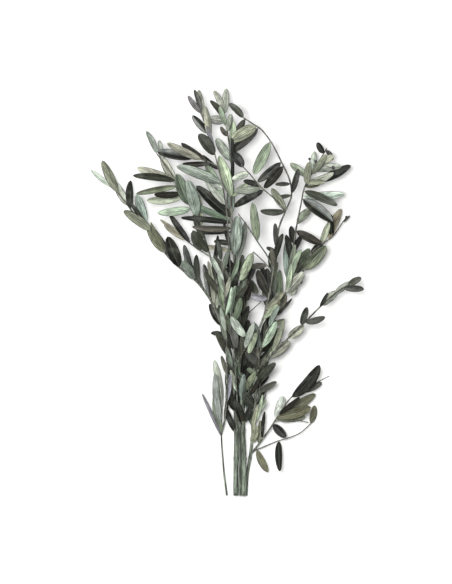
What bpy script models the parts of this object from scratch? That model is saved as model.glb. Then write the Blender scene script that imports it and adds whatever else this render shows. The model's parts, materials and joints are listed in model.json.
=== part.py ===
"""A gathered bunch of preserved olive stems with a few small dried fruits, lying on a surface.

The tables are in millimetres and the meshes in metres. +X is the right side of the bunch,
+Y runs from the cut ends to the leafy tips, and +Z is up from the surface that it lies on.
Each cut stem, with its side twigs, leaves and fruits, grew as one piece and is one object.
"""

import math
import random
from dataclasses import dataclass, field

import bmesh
import bpy
from mathutils import Matrix, Vector
from mathutils.bvhtree import BVHTree

MM = 0.001
SEED = 51
UP = Vector((0, 0, 1))
PLAN = Vector((1, 1, 0))

# The reach of the bunch: its outermost tips to each side, its longest tip and its height.
LEFT_REACH = -240
RIGHT_REACH = 198
TOP_REACH = 654
HEIGHT = 118

STEM_STEP = 22
FINE_TWIG = 1.5
STALK_RADII = (0.6, 0.5)
FRUIT_SHAPE = (0.85, 1.1, 0.85)
FRUIT_RISE = 6

# Opposite pairs: the run between pairs, their angle to the twig in degrees, their turn
# round it, and how far a leaf's length and width vary.
PAIR_GAP = 23
PAIR_ANGLE = (12, 38)
PAIR_TURNS = (1.15, 0.35)
SIZE_SPREAD = (0.85, 1.1)
WIDTH_SHARE = (0.19, 0.26)
LEAN = 0.48
CAMBER = (-0.06, 0.08)
TIP_RISE = (-0.35, 0.45)
HEIGHT_SPREAD = 5

# A leaf is drawn again until it is clear of the rest by this much.
CLEARANCE = 0.5
LOWEST_LEAF = 1.2
PLACED_TRIES = 60
PAIR_TRIES = 16

# A blade is a loft of three-cornered sections, from its narrow root on the twig's axis:
# where each section is along the blade, and its share of the full width.
SHORT_BLADE = ((0.36, 0.97), (0.74, 0.84))
LONG_BLADE = ((0.2, 0.78), (0.5, 1.0), (0.81, 0.74))
LONG_FROM = 44
ROOT_HALF = 0.5
KEEL = 1.5
BLADE_FROM = 0.2

# The distance for closing a tube's caps, and the ways to tidy a joined body, tried in turn:
# how short a sliver is dropped, and the angle, in degrees, below which two faces are one.
WELD = 0.01
TIDYING = ((0.002, 0.3), (0.0005, 0.3), (0.002, 0.1), (0.0005, 0.1), (0.0001, 0.01))

# Which face of a leaf is turned up, and how often: its dark upper side or its pale underside.
FACES = {
    "dark": 1, "dusk": 1, "green": 1, "olive": 1, "sage": 1, "tan": 1, "half_left": 1,
    "half_right": 1, "fresh": -1, "pale": -1, "grey": -1, "lilac": -1, "cream": -1,
}
FACE_SHARE = (("dark", 0.42), ("dusk", 0.26), ("green", 0.18), ("grey", 0.14))


@dataclass
class Twig:
    """One round twig through hand-chosen points, with its leaves.

    leafy: where the pairs by rule begin and end along it, and lengths: their first and last.
    placed: leaves set one by one, as (x, y) near the root, (x, y) of the tip, width, face
    and, where it matters, the tip's height to within a few millimetres, or 0 where it
    touches the surface.
    fruit: (x, y) near the stalk's foot, (x, y) of the fruit and its radius.
    """

    route: list
    radii: tuple
    leafy: tuple = (0, 0)
    lengths: tuple = (50, 34)
    placed: list = field(default_factory=list)
    fruit: list = field(default_factory=list)


def left_stem():
    """The thick left stem: the long shoot to the far left, and the one above it."""
    long_shoot = Twig(
        [(-6.5, 0, 4.3), (-6.5, 45, 4.4), (-6, 91, 5), (-8, 155, 10), (-17, 235, 22),
         (-27, 270, 27), (-45, 312, 31), (-70, 346, 32), (-94, 365, 30), (-117, 387, 27),
         (-147, 434, 22), (-165, 448, 20), (-184, 472, 18), (-203, 496, 16)],
        (4.3, 1.0),
        placed=[
            ((-202, 496), (-240, 525), 8, "pale"),
            ((-196, 488), (-221, 539), 15, "sage"),
            ((-180, 466), (-201, 505), 13, "pale"),
            ((-176, 462), (-175, 507), 13, "dark"),
            ((-150, 438), (-166, 484), 15, "grey"),
            ((-152, 440), (-176, 471), 7, "dusk"),
            ((-142, 426), (-187, 458), 16, "sage"),
            ((-119, 390), (-148, 435), 18, "olive"),
            ((-122, 394), (-143, 440), 6, "olive"),
            ((-96, 368), (-116, 417), 20, "dark"),
            ((-72, 347), (-93, 377), 16, "grey", 44),
            ((-76, 350), (-90, 404), 11, "half_right"),
            ((-66, 341), (-70, 388), 10, "dusk"),
            ((-60, 334), (-78, 372), 9, "grey"),
            ((-48, 316), (-58, 373), 11, "half_right"),
            ((-42, 306), (-51, 378), 9, "pale", 60),
            ((-38, 298), (-40, 350), 10, "pale"),
            ((-33, 285), (-46, 332), 9, "dusk"),
            ((-25, 262), (-32, 308), 10, "green"),
            ((-20, 248), (-24, 296), 10, "dusk"),
            ((-18, 240), (-30, 284), 9, "green"),
            ((-29, 272), (-49, 309), 13, "dark"),
            ((-22, 258), (-47, 262), 8, "dusk"),
            ((-17, 222), (-39, 266), 14, "dusk", 40),
            ((-13, 205), (-22, 240), 9, "grey", 36),
            ((-7, 140), (-1, 178), 9, "dark", 24),
            ((-6, 100), (-22, 141), 10, "dark"),
            ((-116, 387), (-138, 424), 11, "dark", 0),
        ],
        fruit=[((-84, 359), (-89, 376), 2.4)],
    )
    upper_shoot = Twig(
        [(-17, 235, 22), (-25, 280, 40), (-34, 331, 52), (-46, 379, 58), (-61, 427, 62),
         (-77, 461, 64), (-90, 480, 64), (-102, 504, 62), (-114, 523, 58), (-133, 549, 50)],
        (2.0, 1.0), (70, 150), (54, 46),
        placed=[
            ((-133, 549), (-150, 586), 10, "pale"),
            ((-124, 538), (-129, 571), 9, "pale"),
            ((-100, 500), (-127, 546), 14, "pale"),
            ((-102, 504), (-165, 527), 14, "pale"),
            ((-103, 505), (-171, 513), 12, "dusk"),
            ((-98, 497), (-166, 484), 10, "green"),
            ((-94, 485), (-137, 483), 11, "dark"),
            ((-90, 480), (-149, 474), 14, "sage"),
            ((-77, 461), (-132, 454), 14, "fresh"),
            ((-80, 466), (-101, 516), 20, "green", 82),
            ((-68, 446), (-84, 506), 20, "grey", 84),
            ((-62, 430), (-66, 484), 12, "sage"),
            ((-56, 412), (-74, 452), 10, "dusk"),
            ((-50, 390), (-76, 426), 13, "dusk"),
        ],
    )
    inner = Twig([(-12, 190, 14), (-18, 222, 22), (-22, 255, 28), (-25, 285, 32)], (1.3, 0.9),
                 placed=[
                     ((-23, 264), (-16, 305), 10, "green"),
                     ((-25, 284), (-28, 322), 9, "dark"),
                     ((-16, 215), (-23, 250), 9, "dark"),
                 ])
    low = Twig([(-7, 120, 7), (-11, 150, 10), (-14, 185, 12), (-15, 214, 12)], (1.3, 0.9),
               placed=[
                   ((-9, 135), (-20, 184), 11, "dark"),
                   ((-11, 155), (-21, 200), 9, "dusk"),
                   ((-13, 176), (-8, 216), 9, "grey"),
                   ((-14, 196), (-19, 236), 10, "dark"),
               ])
    cross = Twig([(-48, 384, 58), (-66, 396, 50), (-80, 406, 44), (-96, 422, 40)], (1.3, 0.9),
                 placed=[
                     ((-80, 404), (-113, 453), 10, "dark"),
                     ((-84, 410), (-122, 436), 9, "tan"),
                     ((-92, 418), (-128, 444), 6, "tan"),
                     ((-62, 393), (-76, 425), 14, "dusk"),
                 ])
    return [long_shoot, upper_shoot, inner, low, cross]


def slender_stem():
    """The thin stem at the left: it forks above its base and runs bare up the bunch's front."""
    main = Twig(
        [(-21, 0, 1.8), (-25, 30, 2), (-28.5, 70, 3), (-30, 96, 4), (-30, 120, 5),
         (-29, 140, 6)],
        (1.8, 0.9),
        placed=[
            ((-30, 94), (-61, 165), 6, "lilac"),
            ((-30, 97), (-40, 167), 13, "green"),
            ((-30, 112), (-40, 198), 12, "cream"),
            ((-29, 138), (-41, 219), 12, "pale"),
        ],
    )
    front = Twig(
        [(-30, 98, 4), (-25, 120, 14), (-22, 145, 28), (-21, 180, 46), (-21, 225, 62),
         (-22, 270, 75), (-24, 310, 83), (-26, 345, 87), (-30, 378, 88)],
        (1.5, 0.9),
        placed=[
            ((-30, 378), (-36, 410), 8, "dusk"),
            ((-28, 360), (-18, 396), 9, "grey"),
            ((-26, 345), (-46, 384), 9, "pale"),
            ((-25, 325), (-34, 366), 10, "fresh"),
            ((-25, 318), (-16, 352), 8, "pale"),
            ((-24, 296), (-33, 338), 9, "green"),
            ((-23, 290), (-13, 336), 8, "fresh"),
            ((-22, 262), (-31, 304), 8, "pale"),
            ((-22, 250), (-30, 282), 8, "green"),
            ((-21, 196), (-30, 226), 7, "dusk"),
            ((-22, 150), (-15, 196), 9, "lilac"),
            ((-25, 120), (-20, 162), 6, "dark"),
        ],
    )
    return [main, front]


def pale_stem():
    """The thin pale stem between the thick ones, which runs right to the top."""
    main = Twig(
        [(-0.4, 0, 9.8), (-0.4, 40, 10), (-0.5, 75, 11), (-2, 120, 17), (-5, 165, 28),
         (-10, 251, 50), (-14, 331, 68), (-18, 411, 80), (-24, 475, 84), (-38, 539, 80),
         (-49, 576, 74), (-62, 613, 66)],
        (1.5, 1.0), (236, 360), (56, 46),
        placed=[
            ((-62, 613), (-83, 641), 9, "lilac"),
            ((-62, 613), (-73, 651), 8, "dusk"),
            ((-59, 606), (-66, 651), 10, "pale"),
            ((-51, 580), (-76, 609), 12, "half_right"),
            ((-48, 572), (-56, 624), 12, "pale"),
            ((-43, 552), (-53, 592), 7, "lilac"),
            ((-41, 545), (-66, 579), 18, "dusk"),
            ((-35, 522), (-60, 546), 8, "dark"),
            ((-30, 500), (-101, 528), 17, "pale", 96),
            ((-28, 490), (-52, 510), 11, "pale"),
            ((-25, 478), (-57, 538), 13, "fresh", 58),
            ((-23, 466), (-56, 508), 12, "pale", 74),
            ((-5, 168), (-15, 203), 8, "pale", 44),
        ],
    )
    side = Twig(
        [(-36, 528, 82), (-53, 536, 90), (-72, 541, 92)], (1.2, 0.9),
        placed=[
            ((-75, 539), (-132, 551), 16, "half_left"),
            ((-60, 540), (-116, 564), 13, "tan"),
            ((-52, 537), (-94, 565), 10, "dark"),
            ((-48, 528), (-92, 532), 9, "dark"),
        ],
    )
    lower = Twig([(-8, 222, 42), (-12, 255, 56), (-15, 292, 66)], (1.2, 0.9),
                 placed=[
                     ((-15, 290), (8, 257), 15, "pale", 72),
                     ((-14, 282), (-6, 238), 14, "dusk", 62),
                     ((-15, 292), (-7, 338), 10, "fresh"),
                     ((-15, 292), (-17, 334), 8, "grey"),
                 ])
    front = Twig([(-7, 205, 38), (0, 222, 54), (8, 238, 66)], (1.1, 0.8),
                 placed=[
                     ((8, 238), (22, 279), 11, "pale", 78),
                     ((2, 226), (4, 262), 8, "dusk", 62),
                 ])
    return [main, side, lower, front]


def middle_stem():
    """The thick middle stem: the tallest shoot, and the arching one to its right."""
    tall_shoot = Twig(
        [(6, 0, 9), (6.4, 60, 9.2), (5, 107, 11), (3, 160, 18), (2, 219, 29), (-3, 315, 45),
         (-10, 395, 55), (-14, 458, 60), (-13, 488, 62), (-14, 539, 62), (-19, 576, 58),
         (-26, 616, 50)],
        (4.1, 1.0), (150, 250), (58, 50),
        placed=[
            ((-26, 616), (-42, 651), 10, "pale"),
            ((-25, 612), (-22, 654), 12, "pale"),
            ((-24, 604), (-48, 634), 10, "dusk"),
            ((-24, 601), (-51, 604), 15, "cream"),
            ((-22, 592), (-33, 624), 9, "fresh"),
            ((-20, 584), (-14, 612), 11, "pale"),
            ((-19, 577), (-31, 592), 8, "dusk"),
            ((-16, 556), (-12, 603), 11, "fresh"),
            ((-14, 536), (-38, 573), 15, "pale", 74),
            ((-14, 530), (-14, 574), 9, "half_right"),
            ((-13, 495), (-11, 545), 6, "dark"),
            ((-14, 478), (-33, 545), 18, "fresh", 92),
            ((-13, 480), (14, 501), 10, "fresh"),
            ((-15, 447), (-70, 497), 18, "dark", 76),
            ((-14, 452), (-13, 502), 14, "grey"),
            ((-13, 440), (-82, 468), 11, "green", 72),
            ((-13, 438), (-95, 446), 10, "dark", 80),
            ((-12, 430), (-77, 432), 11, "dusk", 72),
            ((-12, 424), (-72, 423), 7, "dark", 60),
            ((-11, 404), (-42, 409), 9, "dark"),
            ((-10, 392), (-60, 401), 8, "tan"),
            ((-9, 385), (-4, 449), 20, "pale", 84),
            ((-8, 375), (9, 440), 12, "grey"),
            ((-10, 385), (-26, 441), 7, "dark"),
            ((-6, 352), (-21, 382), 13, "dark"),
            ((-5, 346), (4, 388), 11, "dusk"),
            ((-3, 318), (-14, 352), 11, "green"),
            ((-2, 306), (10, 362), 12, "grey", 54),
            ((-1, 262), (-23, 309), 10, "green", 36),
            ((-1, 288), (-10, 345), 12, "half_right"),
            ((-1, 284), (9, 346), 12, "dark"),
            ((1, 214), (-6, 256), 13, "dark"),
            ((2, 200), (14, 246), 13, "dark"),
            ((2, 186), (-8, 232), 12, "green"),
            ((3, 160), (12, 204), 12, "dark"),
            ((4, 135), (-4, 182), 13, "dark"),
            ((5, 112), (-10, 156), 12, "dark"),
        ],
    )
    arch = Twig(
        [(2, 214, 28), (16, 243, 40), (35, 280, 54), (48, 331, 64), (57, 390, 72),
         (62, 430, 75), (72, 456, 77), (82, 482, 77), (79, 506, 76), (67, 533, 74),
         (50, 566, 70), (34, 587, 66), (18, 598, 62), (6, 606, 58)],
        (2.1, 1.0), (30, 50), (52, 44),
        placed=[
            ((6, 606), (-18, 629), 11, "dusk"),
            ((8, 604), (-11, 574), 11, "dark"),
            ((26, 592), (-14, 569), 21, "sage"),
            ((30, 590), (-15, 550), 16, "dark"),
            ((48, 568), (22, 515), 17, "fresh"),
            ((66, 535), (28, 503), 13, "dark"),
            ((69, 529), (38, 493), 14, "dark"),
            ((80, 500), (56, 499), 7, "dusk"),
            ((83, 484), (93, 524), 10, "dark"),
            ((84, 482), (54, 476), 7, "dusk"),
            ((73, 458), (50, 493), 13, "sage"),
            ((72, 456), (32, 457), 11, "dusk"),
            ((58, 398), (56, 438), 9, "dusk"),
            ((58, 392), (42, 399), 7, "dusk"),
            ((54, 366), (50, 398), 9, "dusk"),
            ((56, 380), (68, 421), 10, "dark"),
            ((46, 322), (28, 363), 15, "dark", 68),
            ((47, 326), (43, 366), 12, "dark", 50),
            ((45, 318), (18, 322), 11, "lilac", 72),
            ((40, 296), (52, 330), 9, "dark"),
            ((26, 265), (14, 230), 11, "fresh", 66),
            ((40, 298), (70, 328), 11, "sage", 68),
            ((37, 284), (60, 308), 9, "fresh", 70),
            ((42, 304), (38, 342), 10, "dusk", 54),
        ],
    )
    up_left = Twig(
        [(72, 456, 77), (56, 475, 83), (34, 494, 87), (14, 517, 88), (2, 530, 86)],
        (1.2, 0.9),
        placed=[
            ((6, 526), (-13, 551), 15, "dark"),
            ((14, 517), (-13, 507), 12, "pale"),
            ((32, 496), (5, 505), 10, "dark"),
            ((34, 494), (-10, 489), 13, "pale"),
            ((38, 490), (-10, 463), 13, "dark"),
        ],
    )
    long_arc = Twig([(53, 363, 68), (44, 384, 80), (29, 406, 87), (12, 432, 90), (-3, 452, 90)],
                    (1.2, 0.9),
                    placed=[((28, 408), (20, 470), 14, "fresh")])
    short_arc = Twig([(52, 360, 68), (38, 376, 74), (21, 392, 76)], (1.2, 0.9),
                     placed=[((21, 392), (0, 346), 15, "fresh", 84),
                             ((43, 370), (16, 368), 10, "dusk")])
    inner = Twig([(3, 160, 18), (12, 190, 26), (12, 222, 32), (6, 250, 36)], (1.4, 0.9),
                 (8, 1000), (50, 42))
    upper = Twig([(0, 262, 37), (8, 292, 44), (12, 322, 46), (13, 350, 44)], (1.4, 0.9),
                 placed=[
                     ((2, 270), (14, 306), 10, "dark", 54),
                     ((7, 290), (1, 337), 10, "dusk", 34),
                     ((11, 312), (19, 346), 9, "dark", 64),
                     ((12, 325), (5, 370), 9, "dark", 42),
                     ((13, 345), (24, 372), 9, "dark", 50),
                     ((13, 350), (28, 325), 13, "dusk", 40),
                 ])
    crossing = Twig([(7, 288, 43), (20, 300, 50), (33, 312, 56)], (0.9, 0.7))
    low = Twig([(5, 112, 12), (14, 135, 20), (16, 162, 28), (12, 186, 40)], (1.3, 0.9),
               (8, 1000), (46, 38))
    return [tall_shoot, arch, up_left, long_arc, short_arc, inner, upper, crossing, low]


def back_stem():
    """The stem at the back of the bundle: the top right shoot with its small fruits."""
    main = Twig(
        [(0.6, 0, 2.3), (0.8, 60, 2.4), (2, 107, 3), (10, 160, 5), (19, 187, 8), (35, 243, 14),
         (56, 286, 22), (75, 331, 30), (85, 395, 36), (91, 435, 39), (98, 470, 41),
         (103, 494, 42), (113, 514, 42), (124, 532, 40), (133, 548, 37), (139, 558, 35)],
        (2.2, 1.0), (165, 270), (52, 46),
        placed=[
            ((112, 512), (80, 534), 12, "sage"),
            ((117, 520), (120, 554), 11, "pale"),
            ((134, 550), (124, 568), 10, "dark"),
            ((137, 556), (149, 539), 8, "dark"),
            ((106, 500), (150, 519), 13, "pale", 54),
            ((118, 522), (163, 529), 13, "pale", 50),
            ((122, 530), (150, 546), 12, "pale"),
            ((106, 500), (110, 536), 12, "sage"),
            ((114, 516), (138, 548), 11, "sage"),
            ((108, 504), (136, 504), 10, "sage"),
            ((104, 496), (129, 502), 9, "olive"),
            ((102, 490), (156, 466), 13, "dusk", 60),
            ((100, 482), (168, 485), 14, "pale", 34),
            ((99, 478), (148, 440), 19, "half_right", 54),
            ((92, 436), (115, 462), 13, "sage"),
            ((90, 426), (131, 403), 14, "dark"),
            ((72, 325), (102, 360), 17, "pale", 50),
            ((86, 405), (82, 434), 11, "dark"),
            ((84, 390), (100, 420), 9, "dark"),
            ((82, 376), (74, 420), 11, "dark"),
            ((78, 352), (112, 398), 14, "green"),
            ((74, 334), (98, 396), 12, "fresh", 62),
            ((76, 345), (75, 410), 13, "grey"),
            ((76, 348), (88, 404), 10, "sage", 48),
            ((73, 330), (82, 372), 9, "fresh", 64),
            ((66, 308), (64, 364), 11, "green"),
            ((57, 288), (73, 326), 15, "tan"),
            ((58, 290), (84, 318), 5, "dark"),
            ((50, 272), (72, 284), 8, "sage"),
            ((47, 268), (48, 316), 10, "dark", 26),
            ((40, 254), (60, 282), 11, "grey"),
            ((36, 245), (44, 284), 11, "dark"),
        ],
        fruit=[
            ((124, 532), (149, 527), 2.9),
            ((113, 514), (111, 541), 2.2),
            ((117, 521), (121, 537), 2.3),
        ],
    )
    side = Twig(
        [(75, 331, 30), (92, 350, 32), (103, 368, 30), (112, 388, 26), (130, 404, 20),
         (148, 416, 16), (166, 441, 14)],
        (1.3, 0.9),
        placed=[
            ((100, 362), (138, 402), 19, "green", 44),
            ((92, 350), (106, 390), 12, "half_left"),
            ((88, 346), (82, 322), 12, "pale"),
            ((142, 412), (163, 462), 14, "tan"),
            ((149, 417), (147, 452), 11, "dark", 30),
            ((165, 440), (177, 451), 4, "dusk"),
            ((130, 404), (143, 440), 11, "sage"),
            ((112, 390), (136, 414), 11, "dark", 0),
        ],
        fruit=[
            ((92, 350), (98, 344), 2.8),
            ((100, 362), (94, 374), 2.6),
            ((164, 438), (171, 448), 2.4),
        ],
    )
    inner = Twig([(19, 187, 8), (24, 220, 12), (27, 246, 12)], (1.3, 0.9), (8, 1000), (44, 38))
    low = Twig([(10, 160, 5), (-2, 195, 6), (-8, 225, 7), (-10, 262, 8)], (1.3, 0.9),
               (8, 1000), (48, 40))
    upper = Twig([(56, 286, 22), (52, 318, 26), (50, 350, 30), (52, 380, 32)], (1.3, 0.9),
                 (30, 1000), (44, 38))
    tip = Twig([(106, 500, 42), (117, 502, 40), (127, 505, 37)], (1.0, 0.8),
               placed=[((127, 505), (178, 531), 15, "dark", 30)])
    return [main, side, inner, low, upper, tip]


def right_stem():
    """The right stem: the shoot to the right, and the low one that droops from it."""
    main = Twig(
        [(9.8, 0, 2.8), (12, 35, 3.5), (17, 66, 6), (24, 139, 18), (29, 203, 38),
         (50, 227, 48), (77, 254, 54), (104, 280, 56), (130, 306, 56), (155, 328, 52),
         (180, 343, 46)],
        (2.8, 1.0), (165, 215), (48, 40),
        placed=[
            ((172, 339), (194, 351), 11, "dusk"),
            ((165, 334), (198, 333), 11, "dusk"),
            ((150, 324), (177, 344), 11, "pale"),
            ((130, 306), (157, 329), 14, "pale"),
            ((128, 303), (140, 327), 6, "dark"),
            ((98, 274), (107, 304), 11, "dusk"),
            ((104, 279), (136, 288), 11, "dusk"),
            ((76, 253), (103, 274), 15, "pale"),
            ((46, 223), (81, 249), 17, "pale"),
            ((42, 218), (66, 254), 8, "green"),
            ((50, 227), (70, 283), 10, "sage", 62),
            ((34, 208), (56, 238), 9, "sage"),
            ((27, 178), (57, 215), 14, "dusk", 48),
            ((26, 165), (59, 184), 10, "dusk"),
            ((28, 195), (12, 206), 9, "fresh", 66),
            ((26, 170), (12, 228), 12, "dusk"),
            ((29, 198), (27, 240), 12, "dusk"),
            ((24, 142), (5, 168), 17, "dusk", 40),
            ((24, 135), (42, 172), 9, "half_left"),
            ((22, 110), (12, 150), 11, "green"),
            ((20, 84), (26, 114), 12, "sage", 22),
            ((21, 96), (29, 148), 7, "sage", 34),
            ((23, 112), (36, 164), 7, "fresh", 46),
            ((24, 124), (42, 156), 7, "sage", 34),
        ],
    )
    droop = Twig(
        [(17, 66, 6), (34, 88, 11), (51, 112, 15), (66, 136, 19), (84, 160, 22),
         (110, 177, 24), (128, 185, 22), (144, 193, 20)],
        (1.6, 0.7),
        placed=[
            ((82, 158), (128, 211), 19, "dark"),
            ((96, 168), (132, 182), 13, "dusk"),
            ((58, 122), (122, 164), 16, "olive"),
            ((58, 123), (70, 160), 15, "cream"),
            ((60, 126), (114, 143), 18, "olive"),
            ((58, 123), (106, 126), 14, "sage"),
            ((53, 115), (74, 94), 14, "dark"),
            ((62, 130), (96, 160), 8, "dark"),
            ((36, 91), (40, 136), 6, "dark"),
            ((30, 83), (33, 122), 7, "sage"),
        ],
    )
    trailing = Twig(
        [(21, 72, 8), (44, 81, 10), (61, 88, 12), (78, 93, 12), (97, 101, 11), (115, 117, 9)],
        (1.1, 0.8),
        placed=[
            ((114, 116), (121, 145), 11, "olive"),
            ((63, 88), (64, 40), 12, "dark"),
            ((27, 75), (45, 38), 12, "olive"),
        ],
    )
    loop = Twig([(56, 119, 16), (70, 123, 17), (90, 122, 16), (110, 118, 12)], (0.9, 0.7))
    inner = Twig([(24, 139, 18), (30, 165, 27), (34, 190, 33), (38, 215, 34)], (1.3, 0.9),
                 (8, 30), (46, 38))
    upper = Twig([(29, 203, 38), (31, 225, 58), (36, 248, 70), (46, 272, 76)], (1.3, 0.9),
                 placed=[
                     ((33, 238), (58, 281), 13, "fresh", 84),
                     ((46, 272), (62, 306), 9, "grey", 84),
                     ((29, 210), (8, 232), 13, "dusk", 66),
                 ])
    return [main, droop, trailing, loop, inner, upper]


STEMS = {
    "left_stem": (left_stem, (0.20, 0.30, 0.27)),
    "slender_stem": (slender_stem, (0.27, 0.38, 0.34)),
    "pale_stem": (pale_stem, (0.36, 0.47, 0.42)),
    "middle_stem": (middle_stem, (0.16, 0.24, 0.21)),
    "back_stem": (back_stem, (0.13, 0.18, 0.17)),
    "right_stem": (right_stem, (0.29, 0.37, 0.31)),
}


def clear_scene():
    for old in list(bpy.data.objects):
        bpy.data.objects.remove(old, do_unlink=True)


def smooth_path(route, step=STEM_STEP):
    """Points about a step apart along a smooth curve through the route's own points."""
    points = [Vector(point) for point in route]
    before = points[0] * 2 - points[1]
    after = points[-1] * 2 - points[-2]
    guide = [before, *points, after]
    path = []
    for first in range(len(guide) - 3):
        a, b, c, d = guide[first:first + 4]
        t1 = (b - a).length ** 0.5
        t2 = t1 + (c - b).length ** 0.5
        t3 = t2 + (d - c).length ** 0.5
        pieces = max(1, round((c - b).length / step))
        for piece in range(pieces):
            t = t1 + (t2 - t1) * piece / pieces
            ab = a.lerp(b, t / t1)
            bc = b.lerp(c, (t - t1) / (t2 - t1))
            cd = c.lerp(d, (t - t2) / (t3 - t2))
            abc = ab.lerp(bc, t / t2)
            bcd = bc.lerp(cd, (t - t1) / (t3 - t1))
            path.append(abc.lerp(bcd, (t - t1) / (t2 - t1)))
    path.append(points[-1])
    return path


def nearest_on(path, target, flat=Vector((1, 1, 1))):
    """The point of a path nearest to a target, judged in plan where flat has no height."""
    best = None
    for start, end in zip(path, path[1:]):
        along = (end - start) * flat
        share = ((target - start) * flat).dot(along) / along.length_squared
        point = start.lerp(end, min(1, max(0, share)))
        gap = ((point - target) * flat).length
        if best is None or gap < best[0]:
            best = (gap, point)
    return best[1]


def walk(path, start, end):
    """Every pair's place along a path, with the path's direction and share there."""
    total = sum((b - a).length for a, b in zip(path, path[1:]))
    last = min(end, total - PAIR_GAP * 0.4)
    wanted = start
    passed = 0
    for a, b in zip(path, path[1:]):
        length = (b - a).length
        while wanted <= passed + length and wanted < last:
            yield a.lerp(b, (wanted - passed) / length), (b - a).normalized(), wanted / total
            wanted += PAIR_GAP
        passed += length


@dataclass
class Leaf:
    """One blade from its root on the twig's axis to its tip, in millimetres."""

    root: Vector
    tip: Vector
    normal: Vector
    width: float
    camber: float

    def solid(self, grow=0.0, start=0.0):
        """Corners and triangles of the blade, or of one grown by a margin on every side.

        Each section is a flat upper face with a keel, the midrib, under its middle."""
        run = self.tip - self.root
        along = run.normalized()
        upper = (self.normal - along * self.normal.dot(along)).normalized()
        side = along.cross(upper)
        stations = LONG_BLADE if run.length > LONG_FROM else SHORT_BLADE
        first_share, first_width = stations[0]
        root_half = ROOT_HALF + (self.width / 2 * first_width - ROOT_HALF) * start / first_share
        sections = [(start, root_half, ROOT_HALF * 2)]
        sections += [(share, self.width / 2 * width, KEEL) for share, width in stations]
        corners = []
        for share, half, keel in sections:
            arch = self.camber * run.length * 4 * share * (1 - share)
            centre = self.root + run * share + upper * (arch + keel / 3 + grow)
            corners.append(centre - side * (half + grow))
            corners.append(centre + side * (half + grow))
            corners.append(centre - upper * (keel + grow * 2))
        corners.append(self.tip + along * grow)
        last = len(corners) - 1
        faces = [(0, 1, 2)]
        for here, there in ((0, 1), (1, 2), (2, 0)):
            for first in range(0, last - 3, 3):
                near, far = first + here, first + there
                faces.append((near, near + 3, far + 3))
                faces.append((near, far + 3, far))
            faces.append((last - 3 + here, last, last - 3 + there))
        return corners, faces


def box_of(corners):
    low = Vector([min(corner[axis] for corner in corners) for axis in range(3)])
    high = Vector([max(corner[axis] for corner in corners) for axis in range(3)])
    return low, high


class Crowd:
    """Everything placed so far, by stem, for keeping new leaves clear of it."""

    def __init__(self):
        self.bodies = []

    def add(self, stem, corners, faces):
        self.bodies.append((stem, *box_of(corners), BVHTree.FromPolygons(corners, faces)))

    def add_mesh(self, stem, mesh):
        corners = [vertex.co / MM for vertex in mesh.vertices]
        self.add(stem, corners, [tuple(face.vertices) for face in mesh.polygons])

    def meets(self, stem, leaf):
        """Whether a leaf comes too near to another stem's body, or its blade to its own."""
        whole = leaf.solid(CLEARANCE)
        low, high = box_of(whole[0])
        whole_tree = BVHTree.FromPolygons(*whole)
        blade_tree = BVHTree.FromPolygons(*leaf.solid(CLEARANCE, BLADE_FROM))
        for other, other_low, other_high, tree in self.bodies:
            apart = any(low[axis] > other_high[axis] or high[axis] < other_low[axis]
                        for axis in range(3))
            if not apart and (blade_tree if other == stem else whole_tree).overlap(tree):
                return True
        return False


def inside_reach(leaf):
    return all(
        LEFT_REACH <= corner.x <= RIGHT_REACH and corner.y <= TOP_REACH and corner.z <= HEIGHT
        for corner in leaf.solid()[0]
    )


def above_surface(leaf):
    """A leaf keeps off the surface, unless its tip is set right down on it."""
    lowest = -0.01 if leaf.tip.z == 0 else LOWEST_LEAF
    return all(corner.z >= lowest for corner in leaf.solid()[0])


def placed_leaf(draw, root, entry):
    """A leaf set by hand: its tip stays where it is in plan, and its height is drawn."""
    _, (tip_x, tip_y), width, face, *height = entry
    reach = math.hypot(tip_x - root.x, tip_y - root.y)
    tip_z = height[0] if height else root.z + draw.uniform(*TIP_RISE) * reach
    if height and height[0]:
        tip_z += draw.uniform(-HEIGHT_SPREAD, HEIGHT_SPREAD)
    tip = Vector((tip_x, tip_y, tip_z))
    lean = draw.uniform(-LEAN, LEAN)
    along = (tip - root).normalized()
    level = (UP * FACES[face] - along * along.z * FACES[face]).normalized()
    normal = Matrix.Rotation(lean, 3, along) @ level
    return Leaf(root, tip, normal, width / math.cos(lean), draw.uniform(*CAMBER))


def paired_leaf(draw, root, heading, turn, length, face):
    """A leaf of an opposite pair: its side of the twig is given and its lean is drawn."""
    across = heading.cross(UP).normalized()
    rise = across.cross(heading)
    angle = math.radians(draw.uniform(*PAIR_ANGLE))
    around = turn + draw.uniform(-LEAN, LEAN)
    out = across * math.cos(around) + rise * math.sin(around)
    along = heading * math.cos(angle) + out * math.sin(angle)
    size = length * draw.uniform(*SIZE_SPREAD)
    jitter = Vector([draw.uniform(-0.4, 0.4) for _ in range(3)])
    normal = heading * 0.5 + UP * FACES[face] * 0.9 + jitter
    return Leaf(root, root + along * size, normal, size * draw.uniform(*WIDTH_SHARE),
                draw.uniform(*CAMBER))


def drawn_face(draw):
    faces, shares = zip(*FACE_SHARE)
    return draw.choices(faces, shares)[0]


def add_first_clear(name, tries, crowd, leaves):
    """Keeps the first try that is clear of everything; a leaf with none is left out."""
    for leaf in tries:
        if inside_reach(leaf) and above_surface(leaf) and not crowd.meets(name, leaf):
            crowd.add(name, *leaf.solid())
            leaves.append(leaf)
            return


def grow_placed(name, twigs, paths, crowd, draw, leaves):
    for twig, path in zip(twigs, paths):
        for entry in twig.placed:
            root = nearest_on(path, Vector((*entry[0], 0)), PLAN)
            tries = (placed_leaf(draw, root, entry) for _ in range(PLACED_TRIES))
            add_first_clear(name, tries, crowd, leaves)


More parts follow.
